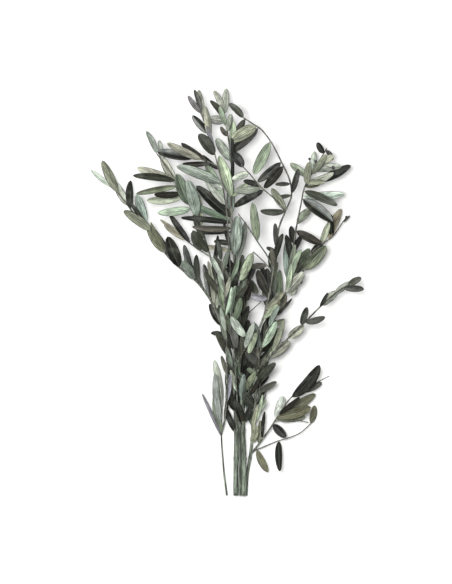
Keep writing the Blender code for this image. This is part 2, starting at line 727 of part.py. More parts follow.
def grow_pairs(name, twigs, paths, crowd, draw, leaves):
    """Opposite pairs along each twig, every other pair standing more upright."""
    for twig, path in zip(twigs, paths):
        long, short = twig.lengths
        for number, (root, heading, share) in enumerate(walk(path, *twig.leafy)):
            length = long + (short - long) * share
            for side in range(2):
                turn = PAIR_TURNS[number % 2] + math.pi * side
                face = drawn_face(draw)
                tries = (paired_leaf(draw, root, heading, turn, length, face)
                         for _ in range(PAIR_TRIES))
                add_first_clear(name, tries, crowd, leaves)


def cleaned(mesh):
    """Welds a mesh's loose caps, turns its faces out and splits them into triangles."""
    build = bmesh.new()
    build.from_mesh(mesh)
    bmesh.ops.remove_doubles(build, verts=build.verts, dist=WELD * MM)
    bmesh.ops.recalc_face_normals(build, faces=build.faces)
    bmesh.ops.triangulate(build, faces=build.faces)
    build.to_mesh(mesh)
    build.free()
    return mesh


def tube_mesh(name, path, radii):
    """A round tapering twig: six sides on the stems, four on the finer twigs."""
    curve = bpy.data.curves.new(name, "CURVE")
    curve.dimensions = "3D"
    curve.bevel_depth = MM
    curve.bevel_resolution = 1 if radii[0] > FINE_TWIG else 0
    curve.use_fill_caps = True
    spline = curve.splines.new("POLY")
    spline.points.add(len(path) - 1)
    for index, (point, place) in enumerate(zip(spline.points, path)):
        point.co = (*(place * MM), 1)
        point.radius = radii[0] + (radii[1] - radii[0]) * index / (len(path) - 1)
    guide = bpy.data.objects.new(name, curve)
    bpy.context.scene.collection.objects.link(guide)
    evaluated = guide.evaluated_get(bpy.context.evaluated_depsgraph_get())
    mesh = bpy.data.meshes.new_from_object(evaluated)
    bpy.data.objects.remove(guide, do_unlink=True)
    return cleaned(mesh)


def leaf_mesh(leaf):
    corners, faces = leaf.solid()
    mesh = bpy.data.meshes.new("leaf")
    mesh.from_pydata([corner * MM for corner in corners], [], faces)
    return cleaned(mesh)


def fruit_places(twig, path):
    """Where each fruit's stalk leaves the twig, the fruit's place in plan and its radius."""
    for near, plan, radius in twig.fruit:
        yield nearest_on(path, Vector((*near, 0)), PLAN), plan, radius


def fruit_meshes(twig, path):
    """Small dried olives, each on a short stalk that leans up and out from its twig."""
    meshes = []
    for root, plan, radius in fruit_places(twig, path):
        centre = Vector((*plan, root.z + FRUIT_RISE))
        stalk = [root, root.lerp(centre, 0.55) + UP, centre]
        meshes.append(tube_mesh("fruit_stalk", stalk, STALK_RADII))
        build = bmesh.new()
        bmesh.ops.create_uvsphere(build, u_segments=7, v_segments=5, radius=radius * MM)
        bmesh.ops.scale(build, vec=FRUIT_SHAPE, verts=build.verts)
        bmesh.ops.translate(build, vec=centre * MM, verts=build.verts)
        mesh = bpy.data.meshes.new("fruit")
        build.to_mesh(mesh)
        build.free()
        meshes.append(cleaned(mesh))
    return meshes


def joined(name, pieces):
    """One closed body: the main stem with its twigs, fruits and leaves fused on."""
    group = bpy.data.collections.new(name + "_repeats")
    bpy.context.scene.collection.children.link(group)
    for mesh in pieces[1:]:
        group.objects.link(bpy.data.objects.new(mesh.name, mesh))
    whole = bpy.data.objects.new(name, pieces[0])
    bpy.context.scene.collection.objects.link(whole)
    union = whole.modifiers.new("join", "BOOLEAN")
    union.operation = "UNION"
    union.operand_type = "COLLECTION"
    union.collection = group
    union.solver = "MANIFOLD"
    depsgraph = bpy.context.evaluated_depsgraph_get()
    fused = bpy.data.meshes.new_from_object(whole.evaluated_get(depsgraph))
    for old in [*group.objects, whole]:
        bpy.data.objects.remove(old, do_unlink=True)
    bpy.data.collections.remove(group)
    return outer_skin(fused)


def skins_of(build):
    """The vertices of each separate skin of a mesh."""
    left = set(build.verts)
    skins = []
    while left:
        skin = set()
        edge = [left.pop()]
        while edge:
            vertex = edge.pop()
            skin.add(vertex)
            found = {link.other_vert(vertex) for link in vertex.link_edges} & left
            left -= found
            edge.extend(found)
        skins.append(skin)
    return sorted(skins, key=len)


def outer_skin(mesh):
    """Keeps the largest skin: a hollow that the join seals is filled, a scrap is dropped.

    Slivers and flat edges are dissolved only as far as the skin stays closed."""
    for sliver, flat_angle in TIDYING:
        build = bmesh.new()
        build.from_mesh(mesh)
        for skin in skins_of(build)[:-1]:
            bmesh.ops.delete(build, geom=list(skin), context="VERTS")
        bmesh.ops.dissolve_degenerate(build, dist=sliver * MM, edges=build.edges)
        bmesh.ops.dissolve_limit(build, angle_limit=math.radians(flat_angle),
                                 verts=build.verts, edges=build.edges)
        bmesh.ops.triangulate(build, faces=build.faces)
        closed = all(edge.is_manifold for edge in build.edges)
        if closed:
            build.to_mesh(mesh)
        build.free()
        if closed:
            return mesh
    raise ValueError(f"{mesh.name} isn't closed")


def stem_material(name, colour):
    material = bpy.data.materials.new(name)
    material.use_nodes = True
    shader = material.node_tree.nodes["Principled BSDF"]
    shader.inputs["Base Color"].default_value = (*colour, 1)
    shader.inputs["Roughness"].default_value = 0.6
    shader.inputs["Metallic"].default_value = 0
    return material


def stem_paths(twigs):
    """Each twig's path; a side twig starts on the axis of the earlier one it grows from."""
    paths = []
    for twig in twigs:
        route = list(twig.route)
        if paths:
            start = Vector(route[0])
            found = [nearest_on(path, start) for path in paths]
            route[0] = min(found, key=lambda point: (point - start).length)
        paths.append(smooth_path(route))
    return paths


def stand_on_origin(parts):
    """Puts the bottom centre of the whole bunch's box at the origin."""
    low, high = box_of([vertex.co for part in parts for vertex in part.data.vertices])
    shift = Matrix.Translation((-(low.x + high.x) / 2, -(low.y + high.y) / 2, -low.z))
    for part in parts:
        part.data.transform(shift)


def build_bunch():
    """All the wood and fruit first, then the leaves set by hand, then the pairs by rule."""
    clear_scene()
    bunch = bpy.data.collections.new("olive_branch_bunch")
    bpy.context.scene.collection.children.link(bunch)
    draw = random.Random(SEED)
    crowd = Crowd()
    stems = []
    for name, (plan, colour) in STEMS.items():
        twigs = plan()
        paths = stem_paths(twigs)
        pieces = [tube_mesh(name, path, twig.radii) for twig, path in zip(twigs, paths)]
        for twig, path in zip(twigs, paths):
            pieces += fruit_meshes(twig, path)
        for mesh in pieces:
            crowd.add_mesh(name, mesh)
        stems.append((name, colour, twigs, paths, pieces, []))
    for name, _, twigs, paths, _, leaves in stems:
        grow_placed(name, twigs, paths, crowd, draw, leaves)
    for name, _, twigs, paths, _, leaves in stems:
        grow_pairs(name, twigs, paths, crowd, draw, leaves)
    for name, colour, _, _, pieces, leaves in stems:
        mesh = joined(name, pieces + [leaf_mesh(leaf) for leaf in leaves])
        mesh.materials.clear()
        mesh.materials.append(stem_material(name, colour))
        bunch.objects.link(bpy.data.objects.new(name, mesh))
    stand_on_origin(bunch.objects)


build_bunch()
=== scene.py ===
"""The looks of the olive bunch: fine leaves, bark and fruit in place of its plain solids.

The layout repeats the solids' own, in millimetres, so that every blade and twig keeps its
place; offset moves it into the shared frame. +Y runs from the cut ends to the tips.
"""

import json
import math
import random
from dataclasses import dataclass, field

import bmesh
import bpy
import numpy as np
from mathutils import Matrix, Vector, noise
from mathutils.bvhtree import BVHTree


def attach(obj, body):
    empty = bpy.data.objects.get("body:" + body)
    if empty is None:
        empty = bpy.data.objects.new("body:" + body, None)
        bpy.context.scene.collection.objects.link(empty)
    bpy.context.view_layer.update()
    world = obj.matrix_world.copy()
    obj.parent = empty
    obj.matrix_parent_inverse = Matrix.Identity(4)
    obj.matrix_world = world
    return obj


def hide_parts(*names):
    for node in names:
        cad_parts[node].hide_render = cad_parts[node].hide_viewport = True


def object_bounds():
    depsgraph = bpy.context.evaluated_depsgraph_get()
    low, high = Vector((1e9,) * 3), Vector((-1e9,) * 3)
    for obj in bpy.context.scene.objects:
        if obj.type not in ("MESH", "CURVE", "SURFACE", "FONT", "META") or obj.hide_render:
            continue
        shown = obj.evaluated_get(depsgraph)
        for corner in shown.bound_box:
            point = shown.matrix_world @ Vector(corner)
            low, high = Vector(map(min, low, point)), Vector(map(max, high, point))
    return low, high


MM = 0.001
SEED = 51
UP = Vector((0, 0, 1))
PLAN = Vector((1, 1, 0))

# The reach of the bunch: its outermost tips to each side, its longest tip and its height.
LEFT_REACH = -240
RIGHT_REACH = 198
TOP_REACH = 654
HEIGHT = 118

STEM_STEP = 22
FINE_TWIG = 1.5
STALK_RADII = (0.6, 0.5)
STALK_BEND = 0.55
FRUIT_SEGMENTS = (7, 5)
FRUIT_SHAPE = (0.85, 1.1, 0.85)
FRUIT_RISE = 6

# Opposite pairs: the run between them and the share of it kept free at the end, their
# angle to the twig in degrees, their turn round it, how a leaf's length and width vary, and
# how much of its normal is the twig's way, upward and chance.
PAIR_GAP = 23
END_SHARE = 0.4
PAIR_ANGLE = (12, 38)
PAIR_TURNS = (1.15, 0.35)
SIZE_SPREAD = (0.85, 1.1)
WIDTH_SHARE = (0.19, 0.26)
FORWARD, UPWARD, CHANCE = 0.5, 0.9, 0.4
TO_END = 1000

# A leaf's lean and camber, and how its tip rises or keeps to the height that is given.
LEAN = 0.48
CAMBER = (-0.06, 0.08)
TIP_RISE = (-0.35, 0.45)
HEIGHT_SPREAD = 5

# A leaf is drawn again until it is clear of the rest by this much.
CLEARANCE = 0.5
LOWEST_LEAF = 1.2
LOWEST_TOUCHING = -0.01
PLACED_TRIES = 60
PAIR_TRIES = 16

# A solid's blade is a loft of three-cornered sections, from its narrow root on the twig's
# axis: where each section is along the blade, and its share of the full width.
SHORT_BLADE = ((0.36, 0.97), (0.74, 0.84))
LONG_BLADE = ((0.2, 0.78), (0.5, 1.0), (0.81, 0.74))
LONG_FROM = 44
ROOT_HALF = 0.5
KEEL = 1.5
BLADE_FROM = 0.2

# The distance for closing a tube's caps.
WELD = 0.01

# Which face of a leaf is turned up, and how often: its dark upper side or its pale underside.
FACES = {
    "dark": 1, "dusk": 1, "green": 1, "olive": 1, "sage": 1, "tan": 1, "half_left": 1,
    "half_right": 1, "fresh": -1, "pale": -1, "grey": -1, "lilac": -1, "cream": -1,
}
FACE_SHARE = (("dark", 0.42), ("dusk", 0.26), ("green", 0.18), ("grey", 0.14))


@dataclass
class Twig:
    """One round twig through given points, with its leaves.

    leafy: where the pairs by rule begin and end along it, and lengths: their first and last.
    placed: leaves set one by one, each by its face: x and y near its root, x and y of its
    tip, its width and, where it matters, its tip's height to within a few millimetres, or 0
    where the tip touches the surface.
    fruit: (x, y) near the stalk's foot, (x, y) of the fruit and its radius.
    """

    route: list
    radii: tuple
    leafy: tuple = (0, 0)
    lengths: tuple = (50, 34)
    placed: list = field(default_factory=list)
    fruit: list = field(default_factory=list)


def hand_set(face):
    """A short way to write a leaf with this face."""
    def entry(root_x, root_y, tip_x, tip_y, width, *height):
        return (root_x, root_y), (tip_x, tip_y), width, face, *height

    return entry


(dark, dusk, green, olive, sage, tan, half_left, half_right,
 fresh, pale, grey, lilac, cream) = map(hand_set, FACES)


def left_stem():
    """The thick left stem: the long shoot to the far left, and the one above it."""
    route = [(-6.5, 0, 4.3), (-6.5, 45, 4.4), (-6, 91, 5), (-8, 155, 10), (-17, 235, 22),
             (-27, 270, 27), (-45, 312, 31), (-70, 346, 32), (-94, 365, 30), (-117, 387, 27),
             (-147, 434, 22), (-165, 448, 20), (-184, 472, 18), (-203, 496, 16)]
    long_shoot = Twig(route, (4.3, 1.0), placed=[
        pale(-202, 496, -240, 525, 8), sage(-196, 488, -221, 539, 15), pale(-180, 466, -201, 505, 13),
        dark(-176, 462, -175, 507, 13), grey(-150, 438, -166, 484, 15), dusk(-152, 440, -176, 471, 7),
        sage(-142, 426, -187, 458, 16), olive(-119, 390, -148, 435, 18), olive(-122, 394, -143, 440, 6),
        dark(-96, 368, -116, 417, 20), grey(-72, 347, -93, 377, 16, 44),
        half_right(-76, 350, -90, 404, 11), dusk(-66, 341, -70, 388, 10), grey(-60, 334, -78, 372, 9),
        half_right(-48, 316, -58, 373, 11), pale(-42, 306, -51, 378, 9, 60),
        pale(-38, 298, -40, 350, 10), dusk(-33, 285, -46, 332, 9), green(-25, 262, -32, 308, 10),
        dusk(-20, 248, -24, 296, 10), green(-18, 240, -30, 284, 9), dark(-29, 272, -49, 309, 13),
        dusk(-22, 258, -47, 262, 8), dusk(-17, 222, -39, 266, 14, 40), grey(-13, 205, -22, 240, 9, 36),
        dark(-7, 140, -1, 178, 9, 24), dark(-6, 100, -22, 141, 10), dark(-116, 387, -138, 424, 11, 0),
    ], fruit=[((-84, 359), (-89, 376), 2.4)])
    route = [(-17, 235, 22), (-25, 280, 40), (-34, 331, 52), (-46, 379, 58), (-61, 427, 62),
             (-77, 461, 64), (-90, 480, 64), (-102, 504, 62), (-114, 523, 58), (-133, 549, 50)]
    upper_shoot = Twig(route, (2.0, 1.0), (70, 150), (54, 46), placed=[
        pale(-133, 549, -150, 586, 10), pale(-124, 538, -129, 571, 9), pale(-100, 500, -127, 546, 14),
        pale(-102, 504, -165, 527, 14), dusk(-103, 505, -171, 513, 12), green(-98, 497, -166, 484, 10),
        dark(-94, 485, -137, 483, 11), sage(-90, 480, -149, 474, 14), fresh(-77, 461, -132, 454, 14),
        green(-80, 466, -101, 516, 20, 82), grey(-68, 446, -84, 506, 20, 84),
        sage(-62, 430, -66, 484, 12), dusk(-56, 412, -74, 452, 10), dusk(-50, 390, -76, 426, 13),
    ])
    inner = Twig([(-12, 190, 14), (-18, 222, 22), (-22, 255, 28), (-25, 285, 32)], (1.3, 0.9), placed=[
        green(-23, 264, -16, 305, 10), dark(-25, 284, -28, 322, 9), dark(-16, 215, -23, 250, 9),
    ])
    low = Twig([(-7, 120, 7), (-11, 150, 10), (-14, 185, 12), (-15, 214, 12)], (1.3, 0.9), placed=[
        dark(-9, 135, -20, 184, 11), dusk(-11, 155, -21, 200, 9), grey(-13, 176, -8, 216, 9),
        dark(-14, 196, -19, 236, 10),
    ])
    cross = Twig([(-48, 384, 58), (-66, 396, 50), (-80, 406, 44), (-96, 422, 40)], (1.3, 0.9), placed=[
        dark(-80, 404, -113, 453, 10), tan(-84, 410, -122, 436, 9), tan(-92, 418, -128, 444, 6),
        dusk(-62, 393, -76, 425, 14),
    ])
    return [long_shoot, upper_shoot, inner, low, cross]


def slender_stem():
    """The thin stem at the left: it forks above its base and runs bare up the bunch's front."""
    route = [(-21, 0, 1.8), (-25, 30, 2), (-28.5, 70, 3), (-30, 96, 4), (-30, 120, 5), (-29, 140, 6)]
    main = Twig(route, (1.8, 0.9), placed=[
        lilac(-30, 94, -61, 165, 6), green(-30, 97, -40, 167, 13), cream(-30, 112, -40, 198, 12),
        pale(-29, 138, -41, 219, 12),
    ])
    route = [(-30, 98, 4), (-25, 120, 14), (-22, 145, 28), (-21, 180, 46), (-21, 225, 62),
             (-22, 270, 75), (-24, 310, 83), (-26, 345, 87), (-30, 378, 88)]
    front = Twig(route, (1.5, 0.9), placed=[
        dusk(-30, 378, -36, 410, 8), grey(-28, 360, -18, 396, 9), pale(-26, 345, -46, 384, 9),
        fresh(-25, 325, -34, 366, 10), pale(-25, 318, -16, 352, 8), green(-24, 296, -33, 338, 9),
        fresh(-23, 290, -13, 336, 8), pale(-22, 262, -31, 304, 8), green(-22, 250, -30, 282, 8),
        dusk(-21, 196, -30, 226, 7), lilac(-22, 150, -15, 196, 9), dark(-25, 120, -20, 162, 6),
    ])
    return [main, front]


def pale_stem():
    """The thin pale stem between the thick ones, which runs right to the top."""
    route = [(-0.4, 0, 9.8), (-0.4, 40, 10), (-0.5, 75, 11), (-2, 120, 17), (-5, 165, 28),
             (-10, 251, 50), (-14, 331, 68), (-18, 411, 80), (-24, 475, 84), (-38, 539, 80),
             (-49, 576, 74), (-62, 613, 66)]
    main = Twig(route, (1.5, 1.0), (236, 360), (56, 46), placed=[
        lilac(-62, 613, -83, 641, 9), dusk(-62, 613, -73, 651, 8), pale(-59, 606, -66, 651, 10),
        half_right(-51, 580, -76, 609, 12), pale(-48, 572, -56, 624, 12), lilac(-43, 552, -53, 592, 7),
        dusk(-41, 545, -66, 579, 18), dark(-35, 522, -60, 546, 8), pale(-30, 500, -101, 528, 17, 96),
        pale(-28, 490, -52, 510, 11), fresh(-25, 478, -57, 538, 13, 58),
        pale(-23, 466, -56, 508, 12, 74), pale(-5, 168, -15, 203, 8, 44),
    ])
    side = Twig([(-36, 528, 82), (-53, 536, 90), (-72, 541, 92)], (1.2, 0.9), placed=[
        half_left(-75, 539, -132, 551, 16), tan(-60, 540, -116, 564, 13), dark(-52, 537, -94, 565, 10),
        dark(-48, 528, -92, 532, 9),
    ])
    lower = Twig([(-8, 222, 42), (-12, 255, 56), (-15, 292, 66)], (1.2, 0.9), placed=[
        pale(-15, 290, 8, 257, 15, 72), dusk(-14, 282, -6, 238, 14, 62), fresh(-15, 292, -7, 338, 10),
        grey(-15, 292, -17, 334, 8),
    ])
    front = Twig([(-7, 205, 38), (0, 222, 54), (8, 238, 66)], (1.1, 0.8), placed=[
        pale(8, 238, 22, 279, 11, 78), dusk(2, 226, 4, 262, 8, 62),
    ])
    return [main, side, lower, front]


def middle_stem():
    """The thick middle stem: the tallest shoot, and the arching one to its right."""
    route = [(6, 0, 9), (6.4, 60, 9.2), (5, 107, 11), (3, 160, 18), (2, 219, 29), (-3, 315, 45),
             (-10, 395, 55), (-14, 458, 60), (-13, 488, 62), (-14, 539, 62), (-19, 576, 58),
             (-26, 616, 50)]
    tall_shoot = Twig(route, (4.1, 1.0), (150, 250), (58, 50), placed=[
        pale(-26, 616, -42, 651, 10), pale(-25, 612, -22, 654, 12), dusk(-24, 604, -48, 634, 10),
        cream(-24, 601, -51, 604, 15), fresh(-22, 592, -33, 624, 9), pale(-20, 584, -14, 612, 11),
        dusk(-19, 577, -31, 592, 8), fresh(-16, 556, -12, 603, 11), pale(-14, 536, -38, 573, 15, 74),
        half_right(-14, 530, -14, 574, 9), dark(-13, 495, -11, 545, 6),
        fresh(-14, 478, -33, 545, 18, 92), fresh(-13, 480, 14, 501, 10),
        dark(-15, 447, -70, 497, 18, 76), grey(-14, 452, -13, 502, 14),
        green(-13, 440, -82, 468, 11, 72), dark(-13, 438, -95, 446, 10, 80),
        dusk(-12, 430, -77, 432, 11, 72), dark(-12, 424, -72, 423, 7, 60), dark(-11, 404, -42, 409, 9),
        tan(-10, 392, -60, 401, 8), pale(-9, 385, -4, 449, 20, 84), grey(-8, 375, 9, 440, 12),
        dark(-10, 385, -26, 441, 7), dark(-6, 352, -21, 382, 13), dusk(-5, 346, 4, 388, 11),
        green(-3, 318, -14, 352, 11), grey(-2, 306, 10, 362, 12, 54), green(-1, 262, -23, 309, 10, 36),
        half_right(-1, 288, -10, 345, 12), dark(-1, 284, 9, 346, 12), dark(1, 214, -6, 256, 13),
        dark(2, 200, 14, 246, 13), green(2, 186, -8, 232, 12), dark(3, 160, 12, 204, 12),
        dark(4, 135, -4, 182, 13), dark(5, 112, -10, 156, 12),
    ])
    route = [(2, 214, 28), (16, 243, 40), (35, 280, 54), (48, 331, 64), (57, 390, 72), (62, 430, 75),
             (72, 456, 77), (82, 482, 77), (79, 506, 76), (67, 533, 74), (50, 566, 70), (34, 587, 66),
             (18, 598, 62), (6, 606, 58)]
    arch = Twig(route, (2.1, 1.0), (30, 50), (52, 44), placed=[
        dusk(6, 606, -18, 629, 11), dark(8, 604, -11, 574, 11), sage(26, 592, -14, 569, 21),
        dark(30, 590, -15, 550, 16), fresh(48, 568, 22, 515, 17), dark(66, 535, 28, 503, 13),
        dark(69, 529, 38, 493, 14), dusk(80, 500, 56, 499, 7), dark(83, 484, 93, 524, 10),
        dusk(84, 482, 54, 476, 7), sage(73, 458, 50, 493, 13), dusk(72, 456, 32, 457, 11),
        dusk(58, 398, 56, 438, 9), dusk(58, 392, 42, 399, 7), dusk(54, 366, 50, 398, 9),
        dark(56, 380, 68, 421, 10), dark(46, 322, 28, 363, 15, 68), dark(47, 326, 43, 366, 12, 50),
        lilac(45, 318, 18, 322, 11, 72), dark(40, 296, 52, 330, 9), fresh(26, 265, 14, 230, 11, 66),
        sage(40, 298, 70, 328, 11, 68), fresh(37, 284, 60, 308, 9, 70), dusk(42, 304, 38, 342, 10, 54),
    ])
    route = [(72, 456, 77), (56, 475, 83), (34, 494, 87), (14, 517, 88), (2, 530, 86)]
    up_left = Twig(route, (1.2, 0.9), placed=[
        dark(6, 526, -13, 551, 15), pale(14, 517, -13, 507, 12), dark(32, 496, 5, 505, 10),
        pale(34, 494, -10, 489, 13), dark(38, 490, -10, 463, 13),
    ])
    route = [(53, 363, 68), (44, 384, 80), (29, 406, 87), (12, 432, 90), (-3, 452, 90)]
    long_arc = Twig(route, (1.2, 0.9), placed=[
        fresh(28, 408, 20, 470, 14),
    ])
    short_arc = Twig([(52, 360, 68), (38, 376, 74), (21, 392, 76)], (1.2, 0.9), placed=[
        fresh(21, 392, 0, 346, 15, 84), dusk(43, 370, 16, 368, 10),
    ])
    route = [(3, 160, 18), (12, 190, 26), (12, 222, 32), (6, 250, 36)]
    inner = Twig(route, (1.4, 0.9), (8, TO_END), (50, 42))
    upper = Twig([(0, 262, 37), (8, 292, 44), (12, 322, 46), (13, 350, 44)], (1.4, 0.9), placed=[
        dark(2, 270, 14, 306, 10, 54), dusk(7, 290, 1, 337, 10, 34), dark(11, 312, 19, 346, 9, 64),
        dark(12, 325, 5, 370, 9, 42), dark(13, 345, 24, 372, 9, 50), dusk(13, 350, 28, 325, 13, 40),
    ])
    crossing = Twig([(7, 288, 43), (20, 300, 50), (33, 312, 56)], (0.9, 0.7))
    route = [(5, 112, 12), (14, 135, 20), (16, 162, 28), (12, 186, 40)]
    low = Twig(route, (1.3, 0.9), (8, TO_END), (46, 38))
    return [tall_shoot, arch, up_left, long_arc, short_arc, inner, upper, crossing, low]


def back_stem():
    """The stem at the back of the bundle: the top right shoot with its small fruits."""
    route = [(0.6, 0, 2.3), (0.8, 60, 2.4), (2, 107, 3), (10, 160, 5), (19, 187, 8), (35, 243, 14),
             (56, 286, 22), (75, 331, 30), (85, 395, 36), (91, 435, 39), (98, 470, 41), (103, 494, 42),
             (113, 514, 42), (124, 532, 40), (133, 548, 37), (139, 558, 35)]
    main = Twig(route, (2.2, 1.0), (165, 270), (52, 46), placed=[
        sage(112, 512, 80, 534, 12), pale(117, 520, 120, 554, 11), dark(134, 550, 124, 568, 10),
        dark(137, 556, 149, 539, 8), pale(106, 500, 150, 519, 13, 54), pale(118, 522, 163, 529, 13, 50),
        pale(122, 530, 150, 546, 12), sage(106, 500, 110, 536, 12), sage(114, 516, 138, 548, 11),
        sage(108, 504, 136, 504, 10), olive(104, 496, 129, 502, 9), dusk(102, 490, 156, 466, 13, 60),
        pale(100, 482, 168, 485, 14, 34), half_right(99, 478, 148, 440, 19, 54),
        sage(92, 436, 115, 462, 13), dark(90, 426, 131, 403, 14), pale(72, 325, 102, 360, 17, 50),
        dark(86, 405, 82, 434, 11), dark(84, 390, 100, 420, 9), dark(82, 376, 74, 420, 11),
        green(78, 352, 112, 398, 14), fresh(74, 334, 98, 396, 12, 62), grey(76, 345, 75, 410, 13),
        sage(76, 348, 88, 404, 10, 48), fresh(73, 330, 82, 372, 9, 64), green(66, 308, 64, 364, 11),
        tan(57, 288, 73, 326, 15), dark(58, 290, 84, 318, 5), sage(50, 272, 72, 284, 8),
        dark(47, 268, 48, 316, 10, 26), grey(40, 254, 60, 282, 11), dark(36, 245, 44, 284, 11),
    ], fruit=[
        ((124, 532), (149, 527), 2.9), ((113, 514), (111, 541), 2.2), ((117, 521), (121, 537), 2.3),
    ])
    route = [(75, 331, 30), (92, 350, 32), (103, 368, 30), (112, 388, 26), (130, 404, 20),
             (148, 416, 16), (166, 441, 14)]
    side = Twig(route, (1.3, 0.9), placed=[
        green(100, 362, 138, 402, 19, 44), half_left(92, 350, 106, 390, 12), pale(88, 346, 82, 322, 12),
        tan(142, 412, 163, 462, 14), dark(149, 417, 147, 452, 11, 30), dusk(165, 440, 177, 451, 4),
        sage(130, 404, 143, 440, 11), dark(112, 390, 136, 414, 11, 0),
    ], fruit=[((92, 350), (98, 344), 2.8), ((100, 362), (94, 374), 2.6), ((164, 438), (171, 448), 2.4)])
    inner = Twig([(19, 187, 8), (24, 220, 12), (27, 246, 12)], (1.3, 0.9), (8, TO_END), (44, 38))
    route = [(10, 160, 5), (-2, 195, 6), (-8, 225, 7), (-10, 262, 8)]
    low = Twig(route, (1.3, 0.9), (8, TO_END), (48, 40))
    route = [(56, 286, 22), (52, 318, 26), (50, 350, 30), (52, 380, 32)]
    upper = Twig(route, (1.3, 0.9), (30, TO_END), (44, 38))
    tip = Twig([(106, 500, 42), (117, 502, 40), (127, 505, 37)], (1.0, 0.8), placed=[
        dark(127, 505, 178, 531, 15, 30),
    ])
    return [main, side, inner, low, upper, tip]


def right_stem():
    """The right stem: the shoot to the right, and the low one that droops from it."""
    route = [(9.8, 0, 2.8), (12, 35, 3.5), (17, 66, 6), (24, 139, 18), (29, 203, 38), (50, 227, 48),
             (77, 254, 54), (104, 280, 56), (130, 306, 56), (155, 328, 52), (180, 343, 46)]
    main = Twig(route, (2.8, 1.0), (165, 215), (48, 40), placed=[
        dusk(172, 339, 194, 351, 11), dusk(165, 334, 198, 333, 11), pale(150, 324, 177, 344, 11),
        pale(130, 306, 157, 329, 14), dark(128, 303, 140, 327, 6), dusk(98, 274, 107, 304, 11),
        dusk(104, 279, 136, 288, 11), pale(76, 253, 103, 274, 15), pale(46, 223, 81, 249, 17),
        green(42, 218, 66, 254, 8), sage(50, 227, 70, 283, 10, 62), sage(34, 208, 56, 238, 9),
        dusk(27, 178, 57, 215, 14, 48), dusk(26, 165, 59, 184, 10), fresh(28, 195, 12, 206, 9, 66),
        dusk(26, 170, 12, 228, 12), dusk(29, 198, 27, 240, 12), dusk(24, 142, 5, 168, 17, 40),
        half_left(24, 135, 42, 172, 9), green(22, 110, 12, 150, 11), sage(20, 84, 26, 114, 12, 22),
        sage(21, 96, 29, 148, 7, 34), fresh(23, 112, 36, 164, 7, 46), sage(24, 124, 42, 156, 7, 34),
    ])
    route = [(17, 66, 6), (34, 88, 11), (51, 112, 15), (66, 136, 19), (84, 160, 22), (110, 177, 24),
             (128, 185, 22), (144, 193, 20)]
    droop = Twig(route, (1.6, 0.7), placed=[
        dark(82, 158, 128, 211, 19), dusk(96, 168, 132, 182, 13), olive(58, 122, 122, 164, 16),
        cream(58, 123, 70, 160, 15), olive(60, 126, 114, 143, 18), sage(58, 123, 106, 126, 14),
        dark(53, 115, 74, 94, 14), dark(62, 130, 96, 160, 8), dark(36, 91, 40, 136, 6),
        sage(30, 83, 33, 122, 7),
    ])
    route = [(21, 72, 8), (44, 81, 10), (61, 88, 12), (78, 93, 12), (97, 101, 11), (115, 117, 9)]
    trailing = Twig(route, (1.1, 0.8), placed=[
        olive(114, 116, 121, 145, 11), dark(63, 88, 64, 40, 12), olive(27, 75, 45, 38, 12),
    ])
    loop = Twig([(56, 119, 16), (70, 123, 17), (90, 122, 16), (110, 118, 12)], (0.9, 0.7))
    route = [(24, 139, 18), (30, 165, 27), (34, 190, 33), (38, 215, 34)]
    inner = Twig(route, (1.3, 0.9), (8, 30), (46, 38))
    upper = Twig([(29, 203, 38), (31, 225, 58), (36, 248, 70), (46, 272, 76)], (1.3, 0.9), placed=[
        fresh(33, 238, 58, 281, 13, 84), grey(46, 272, 62, 306, 9, 84), dusk(29, 210, 8, 232, 13, 66),
    ])
    return [main, droop, trailing, loop, inner, upper]


STEMS = (left_stem, slender_stem, pale_stem, middle_stem, back_stem, right_stem)


def smooth_path(route, step=STEM_STEP):
    """Points about a step apart along a smooth curve through the route's own points."""
    points = [Vector(point) for point in route]
    guide = [points[0] * 2 - points[1], *points, points[-1] * 2 - points[-2]]
    path = []
    for a, b, c, d in zip(guide, guide[1:], guide[2:], guide[3:]):
        t1 = (b - a).length ** 0.5
        t2 = t1 + (c - b).length ** 0.5
        t3 = t2 + (d - c).length ** 0.5
        pieces = max(1, round((c - b).length / step))
        for piece in range(pieces):
            t = t1 + (t2 - t1) * piece / pieces
            ab = a.lerp(b, t / t1)
            bc = b.lerp(c, (t - t1) / (t2 - t1))
            cd = c.lerp(d, (t - t2) / (t3 - t2))
            abc = ab.lerp(bc, t / t2)
            bcd = bc.lerp(cd, (t - t1) / (t3 - t1))
            path.append(abc.lerp(bcd, (t - t1) / (t2 - t1)))
    path.append(points[-1])
    return path


def nearest_on(path, target, flat=Vector((1, 1, 1))):
    """The point of a path nearest to a target, judged in plan where flat has no height."""
    best = None
    for start, end in zip(path, path[1:]):
        along = (end - start) * flat
        share = ((target - start) * flat).dot(along) / along.length_squared
        point = start.lerp(end, min(1, max(0, share)))
        gap = ((point - target) * flat).length
        if best is None or gap < best[0]:
            best = (gap, point)
    return best[1]


def length_of(path):
    return sum((b - a).length for a, b in zip(path, path[1:]))


def walk(path, start, end):
    """Every pair's place along a path, with the path's direction and share there."""
    total = length_of(path)
    last = min(end, total - PAIR_GAP * END_SHARE)
    wanted = start
    passed = 0
    for a, b in zip(path, path[1:]):
        length = (b - a).length
        while wanted <= passed + length and wanted < last:
            yield a.lerp(b, (wanted - passed) / length), (b - a).normalized(), wanted / total
            wanted += PAIR_GAP
        passed += length


